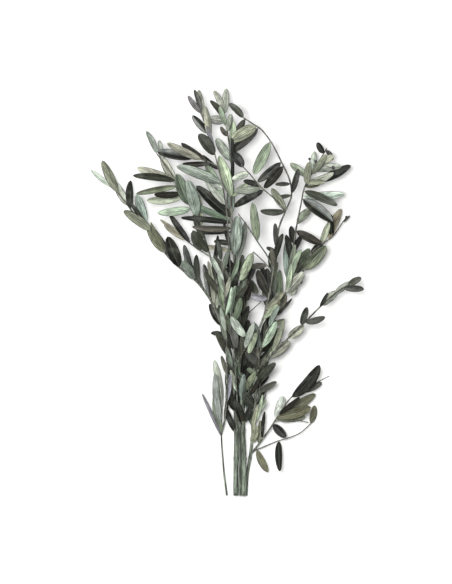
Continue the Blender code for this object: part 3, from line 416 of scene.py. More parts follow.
@dataclass
class Leaf:
    """One blade from its root on the twig's axis to its tip, in millimetres."""

    root: Vector
    tip: Vector
    normal: Vector
    width: float
    camber: float
    face: str

    def axes(self):
        """The run from root to tip, its direction, and the blade's upper and side ways."""
        run = self.tip - self.root
        along = run.normalized()
        upper = (self.normal - along * self.normal.dot(along)).normalized()
        return run, along, upper, along.cross(upper)

    def solid(self, grow=0.0, start=0.0):
        """Corners and triangles of the blade, or of one grown by a margin on every side.

        Each section is a flat upper face with a keel, the midrib, under its middle.
        """
        run, along, upper, side = self.axes()
        stations = LONG_BLADE if run.length > LONG_FROM else SHORT_BLADE
        first_share, first_width = stations[0]
        root_half = ROOT_HALF + (self.width / 2 * first_width - ROOT_HALF) * start / first_share
        sections = [(start, root_half, ROOT_HALF * 2)]
        sections += [(share, self.width / 2 * width, KEEL) for share, width in stations]
        corners = []
        for share, half, keel in sections:
            arch = self.camber * run.length * 4 * share * (1 - share)
            centre = self.root + run * share + upper * (arch + keel / 3 + grow)
            corners.append(centre - side * (half + grow))
            corners.append(centre + side * (half + grow))
            corners.append(centre - upper * (keel + grow * 2))
        corners.append(self.tip + along * grow)
        last = len(corners) - 1
        faces = [(0, 1, 2)]
        for here, there in ((0, 1), (1, 2), (2, 0)):
            for first in range(0, last - 3, 3):
                near, far = first + here, first + there
                faces.append((near, near + 3, far + 3))
                faces.append((near, far + 3, far))
            faces.append((last - 3 + here, last, last - 3 + there))
        return corners, faces


def box_of(corners):
    low = Vector([min(corner[axis] for corner in corners) for axis in range(3)])
    high = Vector([max(corner[axis] for corner in corners) for axis in range(3)])
    return low, high


class Crowd:
    """Everything placed so far, by stem, for keeping new leaves clear of it."""

    def __init__(self):
        self.bodies = []

    def add(self, stem, corners, faces):
        self.bodies.append((stem, *box_of(corners), BVHTree.FromPolygons(corners, faces)))

    def add_mesh(self, stem, mesh):
        corners = [vertex.co / MM for vertex in mesh.vertices]
        self.add(stem, corners, [tuple(face.vertices) for face in mesh.polygons])

    def meets(self, stem, leaf):
        """Whether a leaf comes too near to another stem's body, or its blade to its own."""
        whole = leaf.solid(CLEARANCE)
        low, high = box_of(whole[0])
        whole_tree = BVHTree.FromPolygons(*whole)
        blade_tree = BVHTree.FromPolygons(*leaf.solid(CLEARANCE, BLADE_FROM))
        for other, other_low, other_high, tree in self.bodies:
            apart = any(low[axis] > other_high[axis] or high[axis] < other_low[axis]
                        for axis in range(3))
            if not apart and (blade_tree if other == stem else whole_tree).overlap(tree):
                return True
        return False


def within_bounds(leaf):
    """Inside the bunch's reach, and off the surface unless the tip is set right down on it."""
    lowest = LOWEST_TOUCHING if leaf.tip.z == 0 else LOWEST_LEAF
    return all(LEFT_REACH <= corner.x <= RIGHT_REACH and corner.y <= TOP_REACH
               and lowest <= corner.z <= HEIGHT for corner in leaf.solid()[0])


def placed_leaf(draw, root, entry):
    """A leaf set one by one: its tip stays where it is in plan, and its height is drawn."""
    _, (tip_x, tip_y), width, face, *height = entry
    reach = math.hypot(tip_x - root.x, tip_y - root.y)
    tip_z = height[0] if height else root.z + draw.uniform(*TIP_RISE) * reach
    if height and height[0]:
        tip_z += draw.uniform(-HEIGHT_SPREAD, HEIGHT_SPREAD)
    tip = Vector((tip_x, tip_y, tip_z))
    lean = draw.uniform(-LEAN, LEAN)
    along = (tip - root).normalized()
    level = (UP * FACES[face] - along * along.z * FACES[face]).normalized()
    normal = Matrix.Rotation(lean, 3, along) @ level
    return Leaf(root, tip, normal, width / math.cos(lean), draw.uniform(*CAMBER), face)


def paired_leaf(draw, root, heading, turn, length, face):
    """A leaf of an opposite pair: its side of the twig is given and its lean is drawn."""
    across = heading.cross(UP).normalized()
    rise = across.cross(heading)
    angle = math.radians(draw.uniform(*PAIR_ANGLE))
    around = turn + draw.uniform(-LEAN, LEAN)
    out = across * math.cos(around) + rise * math.sin(around)
    along = heading * math.cos(angle) + out * math.sin(angle)
    size = length * draw.uniform(*SIZE_SPREAD)
    jitter = Vector([draw.uniform(-CHANCE, CHANCE) for _ in range(3)])
    normal = heading * FORWARD + UP * FACES[face] * UPWARD + jitter
    return Leaf(root, root + along * size, normal, size * draw.uniform(*WIDTH_SHARE),
                draw.uniform(*CAMBER), face)


def add_first_clear(name, tries, crowd, leaves):
    """Keeps the first try that is clear of everything; a leaf with none is left out."""
    for leaf in tries:
        if within_bounds(leaf) and not crowd.meets(name, leaf):
            crowd.add(name, *leaf.solid())
            leaves.append(leaf)
            return


def grow_placed(name, wood, crowd, draw, leaves):
    for twig, path in wood:
        for entry in twig.placed:
            root = nearest_on(path, Vector((*entry[0], 0)), PLAN)
            tries = (placed_leaf(draw, root, entry) for _ in range(PLACED_TRIES))
            add_first_clear(name, tries, crowd, leaves)


def grow_pairs(name, wood, crowd, draw, leaves):
    """Opposite pairs along each twig, every other pair standing more upright."""
    for twig, path in wood:
        long, short = twig.lengths
        for number, (root, heading, share) in enumerate(walk(path, *twig.leafy)):
            length = long + (short - long) * share
            for side in range(2):
                turn = PAIR_TURNS[number % 2] + math.pi * side
                face = draw.choices(*zip(*FACE_SHARE))[0]
                tries = (paired_leaf(draw, root, heading, turn, length, face)
                         for _ in range(PAIR_TRIES))
                add_first_clear(name, tries, crowd, leaves)


def linked(name, data):
    """A new object of the scene with this mesh, curve, light or camera."""
    made = bpy.data.objects.new(name, data)
    bpy.context.scene.collection.objects.link(made)
    return made


def mesh_of(name, build):
    """The mesh that a bmesh has built."""
    mesh = bpy.data.meshes.new(name)
    build.to_mesh(mesh)
    build.free()
    return mesh


def cleaned(mesh):
    """Welds a mesh's loose caps, turns its faces out and splits them into triangles."""
    build = bmesh.new()
    build.from_mesh(mesh)
    bmesh.ops.remove_doubles(build, verts=build.verts, dist=WELD * MM)
    bmesh.ops.recalc_face_normals(build, faces=build.faces)
    bmesh.ops.triangulate(build, faces=build.faces)
    build.to_mesh(mesh)
    build.free()
    return mesh


def tube_mesh(name, path, radii):
    """A round tapering twig: six sides on the stems, four on the finer twigs."""
    curve = bpy.data.curves.new(name, "CURVE")
    curve.dimensions = "3D"
    curve.bevel_depth = MM
    curve.bevel_resolution = 1 if radii[0] > FINE_TWIG else 0
    curve.use_fill_caps = True
    spline = curve.splines.new("POLY")
    spline.points.add(len(path) - 1)
    for index, (point, place) in enumerate(zip(spline.points, path)):
        point.co = (*(place * MM), 1)
        point.radius = radii[0] + (radii[1] - radii[0]) * index / (len(path) - 1)
    guide = linked(name, curve)
    evaluated = guide.evaluated_get(bpy.context.evaluated_depsgraph_get())
    mesh = bpy.data.meshes.new_from_object(evaluated)
    bpy.data.objects.remove(guide, do_unlink=True)
    return cleaned(mesh)


def fruit_places(twig, path):
    """Each fruit's stalk, as three points from the twig to its centre, and its radius."""
    for near, plan, radius in twig.fruit:
        root = nearest_on(path, Vector((*near, 0)), PLAN)
        centre = Vector((*plan, root.z + FRUIT_RISE))
        yield [root, root.lerp(centre, STALK_BEND) + UP, centre], radius


def fruit_meshes(twig, path):
    """Small dried olives, each on a short stalk that leans up and out from its twig."""
    meshes = []
    for stalk, radius in fruit_places(twig, path):
        meshes.append(tube_mesh("fruit_stalk", stalk, STALK_RADII))
        around, up = FRUIT_SEGMENTS
        build = bmesh.new()
        bmesh.ops.create_uvsphere(build, u_segments=around, v_segments=up, radius=radius * MM)
        bmesh.ops.scale(build, vec=FRUIT_SHAPE, verts=build.verts)
        bmesh.ops.translate(build, vec=stalk[-1] * MM, verts=build.verts)
        meshes.append(cleaned(mesh_of("fruit", build)))
    return meshes


def with_paths(twigs):
    """Twigs and their paths; a side twig starts on the axis of the one it grows from."""
    wood = []
    for twig in twigs:
        route = list(twig.route)
        if wood:
            start = Vector(route[0])
            found = [nearest_on(path, start) for _, path in wood]
            route[0] = min(found, key=lambda point: (point - start).length)
        wood.append((twig, smooth_path(route)))
    return wood


def grown_stems():
    """Every stem's name, wood and leaves, placed in the same order as the solids."""
    draw = random.Random(SEED)
    crowd = Crowd()
    stems = []
    for plan in STEMS:
        name, wood = plan.__name__, with_paths(plan())
        pieces = [tube_mesh(name, path, twig.radii) for twig, path in wood]
        for twig, path in wood:
            pieces += fruit_meshes(twig, path)
        for mesh in pieces:
            crowd.add_mesh(name, mesh)
            bpy.data.meshes.remove(mesh)
        stems.append((name, wood, []))
    for grow in (grow_placed, grow_pairs):
        for name, wood, leaves in stems:
            grow(name, wood, crowd, draw, leaves)
    return stems


def linear(*steps):
    """A colour given in 0 to 255 sRGB steps, as Blender's linear numbers."""
    return tuple(
        step / 12.92 if step <= 0.04045 else ((step + 0.055) / 1.055) ** 2.4
        for step in (step / 255 for step in steps)
    )


def paint(colour):
    return (*linear(*colour), 1)


# Colours of a leaf's upper side and underside, by the face that it turns to the viewer;
# each leaf takes one of the tones. The two half faces are folded leaves, dark on one side,
# with the other half painted pale as painted light on that side of the fold.
DARK = ((22, 24, 18), (27, 29, 22), (35, 37, 29), (40, 37, 30))
UNDERSIDES = ((126, 134, 120), (134, 138, 124))
LEAF_COLOURS = {
    "dark": (DARK, UNDERSIDES),
    "dusk": (((64, 68, 56), (74, 77, 66), (86, 85, 78)), UNDERSIDES),
    "half_left": (DARK, UNDERSIDES),
    "half_right": (DARK, UNDERSIDES),
    "green": (((116, 130, 108), (108, 124, 102), (126, 138, 116)), ((144, 156, 140),)),
    "olive": (((118, 120, 96), (108, 110, 88)), ((156, 158, 134),)),
    "sage": (((158, 164, 142), (152, 160, 140)), ((168, 176, 156),)),
    "tan": (((168, 164, 144), (158, 154, 134)), ((186, 180, 160),)),
    "fresh": (DARK, ((160, 178, 152), (168, 184, 158))),
    "pale": (DARK, ((184, 192, 176), (178, 190, 174), (190, 194, 178))),
    "grey": (DARK, ((138, 151, 138), (144, 156, 143))),
    "lilac": (DARK, ((158, 156, 162), (148, 148, 152))),
    "cream": (DARK, ((208, 208, 196), (200, 204, 192))),
}
# Painted light: the pale colour of the lit half of a half face, and which side of the midrib it is on.
PAINTED_LIT_HALF_COLOUR = (130, 134, 130)
PAINTED_LIT_SIDES = {"half_left": 1, "half_right": -1}
MIDRIB_COLOUR = (196, 202, 182)
# Dark colour of the leaves' veins, and of the painted shade in the groove beside the midrib and at the
# rim.
VEIN_AND_PAINTED_SHADE_COLOUR = (26, 30, 30)
DRY_COLOUR = (120, 108, 84)
# Painted sheen: a pale grey laid in patches over the leaves' colour.
PAINTED_SHEEN_COLOUR = (124, 126, 118)
BARK_GREEN = (108, 118, 104)
BARK_BROWN = (92, 86, 80)
BARK_SPECKS = (176, 180, 160)
CUT_WOOD = (196, 186, 160)
FRUIT_COLOUR = (34, 28, 32)
BLOOM_COLOUR = (92, 80, 92)
FLOOR_COLOUR = (246, 246, 245)

# A leaf's own shade: how much lighter or darker than its tone, and how much warmer; then
# the painted shade and painted light of its two halves, as light falls on its fold, and how
# its midrib differs from it. The light brightens all of it by the light gain.
LOOKS_SEED = 5
VALUE_SPREAD = 0.16
WARM_SPREAD = (-0.02, 0.03)
PAINTED_SHADE_HALF = 0.76
PAINTED_LIGHT_HALF = 1.14
RIB_GAIN = 1.55
LIGHT_GAIN = 1.3

# A fine blade: its places along, in a column, and across.
ALONG = np.array(
    [0, 0.03, 0.07, 0.13, 0.21, 0.31, 0.42, 0.53, 0.64, 0.74, 0.83, 0.9, 0.955, 1.0])[:, None]
ACROSS = np.array([-1, -0.66, -0.3, 0, 0.3, 0.66, 1.0])

# Its outline: the stalk's share of the length, how far the widest place is from the middle,
# how pointed the ends are, and its half-widths at the root and the tip.
STALK_SHARE = 0.05
BLADE_SKEW = 0.94
BLADE_POINT = 1.12
FINE_ROOT = 0.55
FINE_TIP = 0.12

# Its bends: the fold along the midrib, the edges' curl, the twist and where along it is
# none, the sway to one side, and the height and pace of the wave along its edge.
FOLD = (0.25, 0.8)
FOLD_SINK = 0.45
CURL = (-0.1, 0.35)
TWIST = 0.35
TWIST_FROM = 0.4
SWAY = 0.035
WAVE = 0.35
WAVE_PACE = 17
WAVE_PHASE = 6.28

# Its thickness, thinner at the rim and thicker near the root, and the rib under it.
LEAF_THICK = 0.32
RIM_THIN = 0.55
ROOT_THICK = 0.35
ROOT_RUN = 0.07
RIB_DEPTH = 0.45
RIB_TAPER = 0.75
RIB_SPREAD = 0.16
RIB_GROOVE = 0.25

# The fine wood: its steps and sides, the low ring at each pair of leaves, the slow wave of
# its surface, the rounded end, and how brown a side twig is where it begins.
FINE_STEP = 5
STALK_STEP = 1.5
STEM_SIDES = 14
TWIG_SIDES = 8
STALK_SIDES = 6
STALK_THIN = 0.5
STALK_FLARE = 0.25
FLARE_POWER = 6
RINGS_FROM = 60
RING_HALF = 1.8
RING_SWELL = 0.16
WOOD_SHARE = 0.96
WOOD_WAVE = 0.03
WOOD_WAVE_RUN = 9
WOOD_WAVE_PHASE = 6
END_BULGE = 0.15
TWIG_BROWN = 0.35

# A dried fruit's wrinkles, as their pace and depth, and the dimple at its tip.
FRUIT_FINENESS = 4
WRINKLES = ((1.1, 0.1), (2.6, 0.05))
WRINKLE_PLACE = 0.9
DIMPLE = 0.12
DIMPLE_FROM = 0.8


def blade_width(along):
    """Half-width share at a place along the leaf: a narrow stalk, then a long ellipse."""
    skew = np.clip((along - STALK_SHARE) / (1 - STALK_SHARE), 0, 1) ** BLADE_SKEW
    return np.sqrt(np.clip(4 * skew * (1 - skew), 0, 1)) ** BLADE_POINT


def fine_blade(leaf, draw):
    """Points of one thin, folded, curling leaf: those of its upper side, then the others."""
    run, _, upper, side = leaf.axes()
    fold = draw.uniform(*FOLD)
    curl = draw.uniform(*CURL)
    twist = draw.uniform(-TWIST, TWIST)
    sway = draw.uniform(-SWAY, SWAY) * run.length
    wave = draw.uniform(0, WAVE)
    phase = draw.uniform(0, WAVE_PHASE)
    half = FINE_ROOT + (leaf.width / 2 - FINE_ROOT) * blade_width(ALONG)
    half[-1] = FINE_TIP
    arch = leaf.camber * run.length * 4 * ALONG * (1 - ALONG)
    bend = sway * np.sin(np.pi * ALONG)
    turn = twist * (ALONG - TWIST_FROM)
    away = np.abs(ACROSS)
    lift = half * (fold * away - curl * away ** 2)
    ripple = wave * np.sin(ALONG * WAVE_PACE + phase) * away ** 2 * blade_width(ALONG)
    height = lift + ripple - half * fold * FOLD_SINK
    thick = LEAF_THICK * (1 - RIM_THIN * away) + ROOT_THICK * np.exp(-((ALONG / ROOT_RUN) ** 2))
    rib = RIB_DEPTH * (1 - RIB_TAPER * ALONG) * np.exp(-((away / RIB_SPREAD) ** 2))
    rows = []
    for surface in (height + thick / 2 - rib * RIB_GROOVE, height - thick / 2 - rib):
        flat = half * ACROSS * np.cos(turn) - surface * np.sin(turn)
        rise = half * ACROSS * np.sin(turn) + surface * np.cos(turn)
        points = (np.array(leaf.root) + np.array(run) * ALONG[..., None]
                  + np.array(side) * (flat + bend)[..., None]
                  + np.array(upper) * (rise + arch)[..., None])
        rows.append(points.reshape(-1, 3))
    return np.vstack(rows)


def blade_faces():
    """Corner numbers of a blade's faces: upper side, underside and rim, then root and tip."""
    columns = len(ACROSS)
    under = len(ALONG) * columns
    faces = []
    for left in range(0, under - columns, columns):
        right = left + columns - 1
        for a in range(left, right):
            b = a + columns
            faces.append((a, a + 1, b + 1, b))
            faces.append((under + a, under + b, under + b + 1, under + a + 1))
        faces.append((left, left + columns, under + left + columns, under + left))
        faces.append((right + columns, right, under + right, under + right + columns))
    faces += [(a, under + a, under + a + 1, a + 1) for a in range(columns - 1)]
    faces += [(a + 1, under + a + 1, under + a, a) for a in range(under - columns, under - 1)]
    return faces


def own_colour(face, side, draw):
    """A leaf's own shade of one of its tones: lighter or darker, warmer or cooler."""
    tone = draw.choice(LEAF_COLOURS[face][side])
    value = 1 + draw.uniform(-VALUE_SPREAD, VALUE_SPREAD)
    warm = draw.uniform(*WARM_SPREAD)
    return linear(*(min(255, part * value * (1 + shift))
                    for part, shift in zip(tone, (warm, 0, -warm))))


def tinted_mesh(name, parts, offset):
    """One mesh in the shared frame from parts: points in millimetres, faces and colours."""
    points, faces, tints = [], [], []
    for part_points, part_faces, part_tints in parts:
        base = len(points)
        faces.extend(tuple(corner + base for corner in face) for face in part_faces)
        points.extend(part_points)
        tints.extend(part_tints)
    mesh = bpy.data.meshes.new(name)
    mesh.from_pydata((np.array(points) * MM + offset).tolist(), [], faces)
    tint = mesh.color_attributes.new("tint", "FLOAT_COLOR", "POINT")
    tint.data.foreach_set("color", np.array(tints, np.float32).ravel())
    return mesh


def set_surface(mesh, surface):
    """Writes each vertex's place across and along its blade as a UV map."""
    corners = np.empty(len(mesh.loops), np.int32)
    mesh.loops.foreach_get("vertex_index", corners)
    layer = mesh.uv_layers.new(name="surface")
    layer.uv.foreach_set("vector", surface[corners].astype(np.float32).ravel())


def finished_piece(name, mesh):
    mesh.shade_smooth()
    return linked(name, mesh)


def leaves_piece(name, leaves, draw, offset):
    """All the leaves of one stem as one fine mesh."""
    faces = blade_faces()
    across = np.tile(ACROSS, len(ALONG))
    parts = []
    for leaf in leaves:
        points = fine_blade(leaf, draw)
        shade = draw.random()
        tints = []
        for side in range(2):
            tint = np.tile((*own_colour(leaf.face, side, draw), shade), (len(across), 1))
            # Painted light: the lit half of a folded half face is painted pale.
            if leaf.face in PAINTED_LIT_SIDES:
                tint[across * PAINTED_LIT_SIDES[leaf.face] > 0, :3] = linear(*PAINTED_LIT_HALF_COLOUR)
            tints.extend(tint)
        parts.append((points, faces, tints))
    mesh = tinted_mesh(name, parts, offset)
    surface = np.stack([across * 0.5 + 0.5, np.repeat(ALONG, len(ACROSS))], 1)
    set_surface(mesh, np.tile(surface, (2 * len(leaves), 1)))
    return finished_piece(name, mesh)


def ring_frames(path):
    """The points as numbers, and two cross directions at each, carried without twisting."""
    points = np.array([tuple(point) for point in path])
    tangents = np.gradient(points, axis=0)
    tangents /= np.linalg.norm(tangents, axis=1)[:, None]
    across = np.cross(tangents[0], (0, 0, 1))
    frames = []
    for tangent in tangents:
        across = across - tangent * across.dot(tangent)
        across /= np.linalg.norm(across)
        frames.append((across, np.cross(tangent, across)))
    return points, frames


def fine_tube(path, radius_at, colour_at, sides, capped):
    """Points, faces and tints of a round twig; radius and colour vary along it."""
    points, frames = ring_frames(path)
    angles = np.linspace(0, 2 * np.pi, sides, endpoint=False)
    total = len(points) - 1
    corners, tints = [], []
    for number, (point, (across, rise)) in enumerate(zip(points, frames)):
        radius = radius_at(number / total)
        for angle in angles:
            corners.append(point + (across * np.cos(angle) + rise * np.sin(angle)) * radius)
            tints.append(colour_at(number / total))
    faces = []
    for start in range(0, total * sides, sides):
        for column in range(sides):
            a, b = start + column, start + (column + 1) % sides
            faces.append((a, a + sides, b + sides, b))
    first, last = len(corners), len(corners) + 1
    corners += [points[0], points[-1] + (points[-1] - points[-2]) * END_BULGE]
    tints += [paint(CUT_WOOD if capped else BARK_BROWN), colour_at(1)]
    for column in range(sides):
        after = (column + 1) % sides
        faces.append((first, column, after))
        faces.append((last, total * sides + after, total * sides + column))
    return corners, faces, tints


def bark_shades(is_main):
    """The colour along a twig: grey-green on the thick wood, browner on the fine twigs."""
    thick, thin = linear(*BARK_GREEN), linear(*BARK_BROWN)

    def colour_at(share):
        browner = share if is_main else TWIG_BROWN + (1 - TWIG_BROWN) * share
        return (*(a + (b - a) * browner for a, b in zip(thick, thin)), 0.5)

    return colour_at


def swollen(twig, path, draw):
    """The radius along a twig, with a low ring wherever a pair of leaves grows."""
    total = length_of(path)
    rings = [share for _, _, share in walk(path, RINGS_FROM, TO_END)]
    wobble = draw.uniform(0, WOOD_WAVE_PHASE)

    def radius_at(share):
        taper = twig.radii[0] + (twig.radii[1] - twig.radii[0]) * share
        ring = sum(np.exp(-((share - at) * total / RING_HALF) ** 2) for at in rings)
        wave = np.sin(share * total / WOOD_WAVE_RUN + wobble)
        return taper * (WOOD_SHARE + RING_SWELL * ring + WOOD_WAVE * wave)

    return radius_at


def stalk_radius(share):
    """A fruit's stalk widens only where it meets the fruit."""
    return STALK_THIN + STALK_FLARE * share ** FLARE_POWER


def bark_piece(name, wood, draw, offset):
    """The wood of one stem: its main stem and side twigs, finer than their solids."""
    parts = []
    for number, (twig, path) in enumerate(wood):
        fine = smooth_path([tuple(path[0]), *twig.route[1:]], FINE_STEP)
        sides = STEM_SIDES if twig.radii[0] > FINE_TWIG else TWIG_SIDES
        is_main = number == 0
        radius_at = swollen(twig, path, draw)
        parts.append(fine_tube(fine, radius_at, bark_shades(is_main), sides, is_main))
        for stalk, _ in fruit_places(twig, path):
            fine = smooth_path(stalk, STALK_STEP)
            parts.append(fine_tube(fine, stalk_radius, bark_shades(False), STALK_SIDES, False))
    return finished_piece(name, tinted_mesh(name, parts, offset))


def fruit_piece(name, wood, offset):
    """The small dried olives of one stem, wrinkled as they shrank."""
    build = bmesh.new()
    for twig, path in wood:
        for stalk, radius in fruit_places(twig, path):
            centre = stalk[-1]
            made = bmesh.ops.create_icosphere(build, subdivisions=FRUIT_FINENESS, radius=radius)
            for vertex in made["verts"]:
                place = vertex.co * WRINKLE_PLACE + centre
                wrinkle = sum(noise.noise(place * pace) * depth for pace, depth in WRINKLES)
                dimple = DIMPLE * max(0, vertex.co.normalized().y - DIMPLE_FROM)
                vertex.co = vertex.co * (1 + wrinkle - dimple)
                vertex.co = vertex.co * Vector(FRUIT_SHAPE) + centre
    for vertex in build.verts:
        vertex.co = vertex.co * MM + Vector(offset)
    return finished_piece(name, mesh_of(name, build))


class Shader:
    """A short way to write a material's nodes: each call adds one and returns its output."""

    def __init__(self, name):
        self.material = bpy.data.materials.new(name)
        self.material.use_nodes = True
        self.tree = self.material.node_tree
        self.surface = self.tree.nodes["Principled BSDF"]

    def feed(self, socket, value):
        if isinstance(value, bpy.types.NodeSocket):
            self.tree.links.new(value, socket)
        else:
            socket.default_value = value

    def set(self, name, value):
        self.feed(self.surface.inputs[name], value)

    def node(self, kind, inputs=None, **settings):
        """A whole node, with what goes into its inputs by their number or name."""
        made = self.tree.nodes.new(kind)
        for key, value in settings.items():
            setattr(made, key, value)
        for key, value in (inputs or {}).items():
            self.feed(made.inputs[key], value)
        return made

    def math(self, operation, first, second=0.0):
        return self.node("ShaderNodeMath", {0: first, 1: second}, operation=operation).outputs[0]

    def times(self, first, second):
        return self.math("MULTIPLY", first, second)

    def fit(self, value, *limits):
        """Takes a value from between two limits smoothly to between two others."""
        inputs = dict(enumerate((value, *limits)))
        return self.node("ShaderNodeMapRange", inputs, interpolation_type="SMOOTHSTEP").outputs[0]

    def noise(self, place, scale, detail, *limits):
        """Clouds of a scale and detail, fitted where there are limits to fit them to."""
        inputs = {"Vector": place, "Scale": scale, "Detail": detail}
        cloud = self.node("ShaderNodeTexNoise", inputs).outputs["Fac"]
        return self.fit(cloud, *limits) if limits else cloud

    def mix(self, share, first, second, blend="MIX"):
        inputs = {"Factor": share, "A": first, "B": second}
        mixed = self.node("ShaderNodeMix", inputs, data_type="RGBA", blend_type=blend)
        return mixed.outputs["Result"]

    def place(self, x, y, z):
        return self.node("ShaderNodeCombineXYZ", {0: x, 1: y, 2: z}).outputs[0]

    def grey(self, value):
        return self.node("ShaderNodeCombineColor", {0: value, 1: value, 2: value}).outputs[0]

    def bump(self, height, strength, distance):
        inputs = {"Strength": strength, "Distance": distance, "Height": height}
        self.set("Normal", self.node("ShaderNodeBump", inputs).outputs[0])


def leaf_material():
    """Leathery preserved leaf: its own tint, painted halves, midrib, streaks, rim, bloom and sheen.

    One half is painted lighter and the other darker as light falls on its fold; the groove
    beside the midrib and the rim carry painted shade, and the sheen patches are painted.
    """
    shader = Shader("olive_leaf")
    place = shader.node("ShaderNodeTexCoord").outputs["Object"]
    tint = shader.node("ShaderNodeAttribute", attribute_name="tint")
    own = tint.outputs["Alpha"]
    surface = shader.node("ShaderNodeUVMap", uv_map="surface").outputs[0]
    across, along, _ = shader.node("ShaderNodeSeparateXYZ", {0: surface}).outputs
    across = shader.math("SUBTRACT", across, 0.5)
    off_rib = shader.math("ABSOLUTE", across)

    # Painted light and shade: one half of the leaf is painted lighter and the other darker, as light
    # falls on its fold; the side is chosen by the leaf's own number.
    side = shader.math("SIGN", shader.math("SUBTRACT", own, 0.5))
    half = shader.fit(shader.times(across, side), -0.05, 0.05, PAINTED_SHADE_HALF, PAINTED_LIGHT_HALF)
    seed = shader.times(own, 60.0)
    streak_place = shader.place(shader.times(off_rib, 17.0), shader.times(along, 4.0), seed)
    streak = shader.noise(streak_place, 1.0, 4.0)
    slant = shader.math("SUBTRACT", along, shader.times(off_rib, 0.5))
    vein_place = shader.place(shader.times(slant, 26.0), shader.times(off_rib, 1.5), seed)
    veins = shader.noise(vein_place, 1.0, 2.0, 0.52, 0.62, 0.0, 1.0)
    patches = shader.noise(place, 75.0, 4.0, 0.3, 0.7, 0.82, 1.2)
    scurf = shader.noise(place, 1400.0, 3.0, 0.3, 0.7, 0.86, 1.14)
    shade = shader.times(shader.fit(streak, 0.36, 0.64, 0.5, 1.5), half)
    shade = shader.times(shade, shader.times(patches, scurf))
    shade = shader.times(shade, 1 / LIGHT_GAIN)
    colour = shader.mix(1.0, tint.outputs["Color"], shader.grey(shade), "MULTIPLY")

    rib_half = shader.math("SUBTRACT", 0.05, shader.times(along, 0.028))
    rib_run = shader.math("DIVIDE", off_rib, rib_half)
    rib = shader.fit(rib_run, 0.35, 0.9, 1.0, 0.0)
    # Painted shade: a dark line in the groove on each side of the midrib.
    painted_groove_shade = shader.times(shader.fit(rib_run, 0.9, 1.3, 0.0, 1.0),
                          shader.fit(rib_run, 1.6, 2.6, 1.0, 0.0))
    # Painted shade: a dark band along the leaf's curled rim.
    rim = shader.fit(off_rib, 0.425, 0.475, 0.0, 1.0)
    dry = shader.noise(place, 34.0, 3.0, 0.62, 0.74, 0.0, 0.14)
    # Painted sheen: patches where pale grey is laid over the colour.
    painted_sheen = shader.noise(place, 52.0, 3.0, 0.5, 0.7, 0.0, 0.22)
    colour = shader.mix(dry, colour, paint(DRY_COLOUR))
    colour = shader.mix(shader.times(veins, 0.3), colour, paint(VEIN_AND_PAINTED_SHADE_COLOUR))
    # Painted shade in the groove beside the midrib.
    colour = shader.mix(shader.times(painted_groove_shade, 0.6), colour, paint(VEIN_AND_PAINTED_SHADE_COLOUR))
    raised = shader.mix(1.0, colour, (RIB_GAIN, RIB_GAIN, RIB_GAIN, 1), "MULTIPLY")
    colour = shader.mix(rib, colour, raised)
    colour = shader.mix(shader.times(rib, 0.1), colour, paint(MIDRIB_COLOUR))
    # Lays the painted sheen over the colour.
    colour = shader.mix(painted_sheen, colour, paint(PAINTED_SHEEN_COLOUR))
    # Painted shade at the rim.
    colour = shader.mix(shader.times(rim, 0.88), colour, paint(VEIN_AND_PAINTED_SHADE_COLOUR))
    shader.set("Base Color", colour)
    shader.set("Roughness", shader.noise(place, 300.0, 3.0, 0.3, 0.7, 0.34, 0.56))
    shader.set("Specular IOR Level", 0.26)
    shader.set("Sheen Weight", 0.02)
    shader.set("Sheen Roughness", 0.4)
    relief = shader.math("ADD", shader.times(streak, 1.2),
                         shader.math("ADD", rib, shader.times(scurf, 0.5)))
    shader.bump(relief, 0.5, 0.0006)
    return shader.material


def bark_material():
    """Grey-green bark with streaks along the stem, paler specks and darker creases."""
    shader = Shader("olive_bark")
    place = shader.node("ShaderNodeTexCoord").outputs["Object"]
    tint = shader.node("ShaderNodeAttribute", attribute_name="tint")
    stretched = {"Vector": place, "Scale": (1.0, 0.06, 1.0)}
    along = shader.node("ShaderNodeMapping", stretched).outputs[0]
    streak = shader.noise(along, 900.0, 4.0)
    band = shader.noise(along, 300.0, 2.0, 0.36, 0.64, 0.42, 1.6)
    mottle = shader.noise(place, 130.0, 3.0)
    shade = shader.times(shader.fit(streak, 0.38, 0.62, 0.42, 1.5),
                         shader.fit(mottle, 0.3, 0.7, 0.8, 1.2))
    shade = shader.times(shade, band)
    shade = shader.times(shade, 1 / LIGHT_GAIN)
    colour = shader.mix(1.0, tint.outputs["Color"], shader.grey(shade), "MULTIPLY")
    specks = shader.noise(place, 700.0, 1.0, 0.66, 0.74, 0.0, 0.5)
    shader.set("Base Color", shader.mix(specks, colour, paint(BARK_SPECKS)))
    shader.set("Roughness", shader.fit(mottle, 0.3, 0.7, 0.55, 0.8))
    shader.set("Specular IOR Level", 0.35)
    shader.bump(shader.math("ADD", streak, specks), 0.5, 0.0006)
    return shader.material


def fruit_material():
    """Shrunken dried olive: near black, with a dull purple bloom in its creases."""
    shader = Shader("dried_olive")
    place = shader.node("ShaderNodeTexCoord").outputs["Object"]
    bloom = shader.noise(place, 420.0, 4.0, 0.42, 0.7, 0.0, 0.6)
    shader.set("Base Color", shader.mix(bloom, paint(FRUIT_COLOUR), paint(BLOOM_COLOUR)))
    shader.set("Roughness", shader.noise(place, 900.0, 2.0, 0.3, 0.7, 0.32, 0.6))
    shader.bump(shader.noise(place, 1300.0, 3.0), 0.4, 0.0004)
    return shader.material


FLOOR_HALF = 4.0
FLOOR_BELOW = -0.0005

# The soft light: each lamp's place, size and power.
WORLD_STRENGTH = 0.44
LAMPS = (((-0.25, 0.2, 2.6), 0.8, 62), ((-1.6, 1.0, 2.0), 0.8, 22))

# The photograph's frame at the middle of the bunch's thickness, in metres.
VIEW_HEIGHT = 0.9344
VIEW_CENTRE = (-0.0014, 0.001)
MIDDLE_HEIGHT = 0.05
CAMERA_HEIGHT = 6.0
SENSOR_HEIGHT = 24
CAMERA_REACH = 20


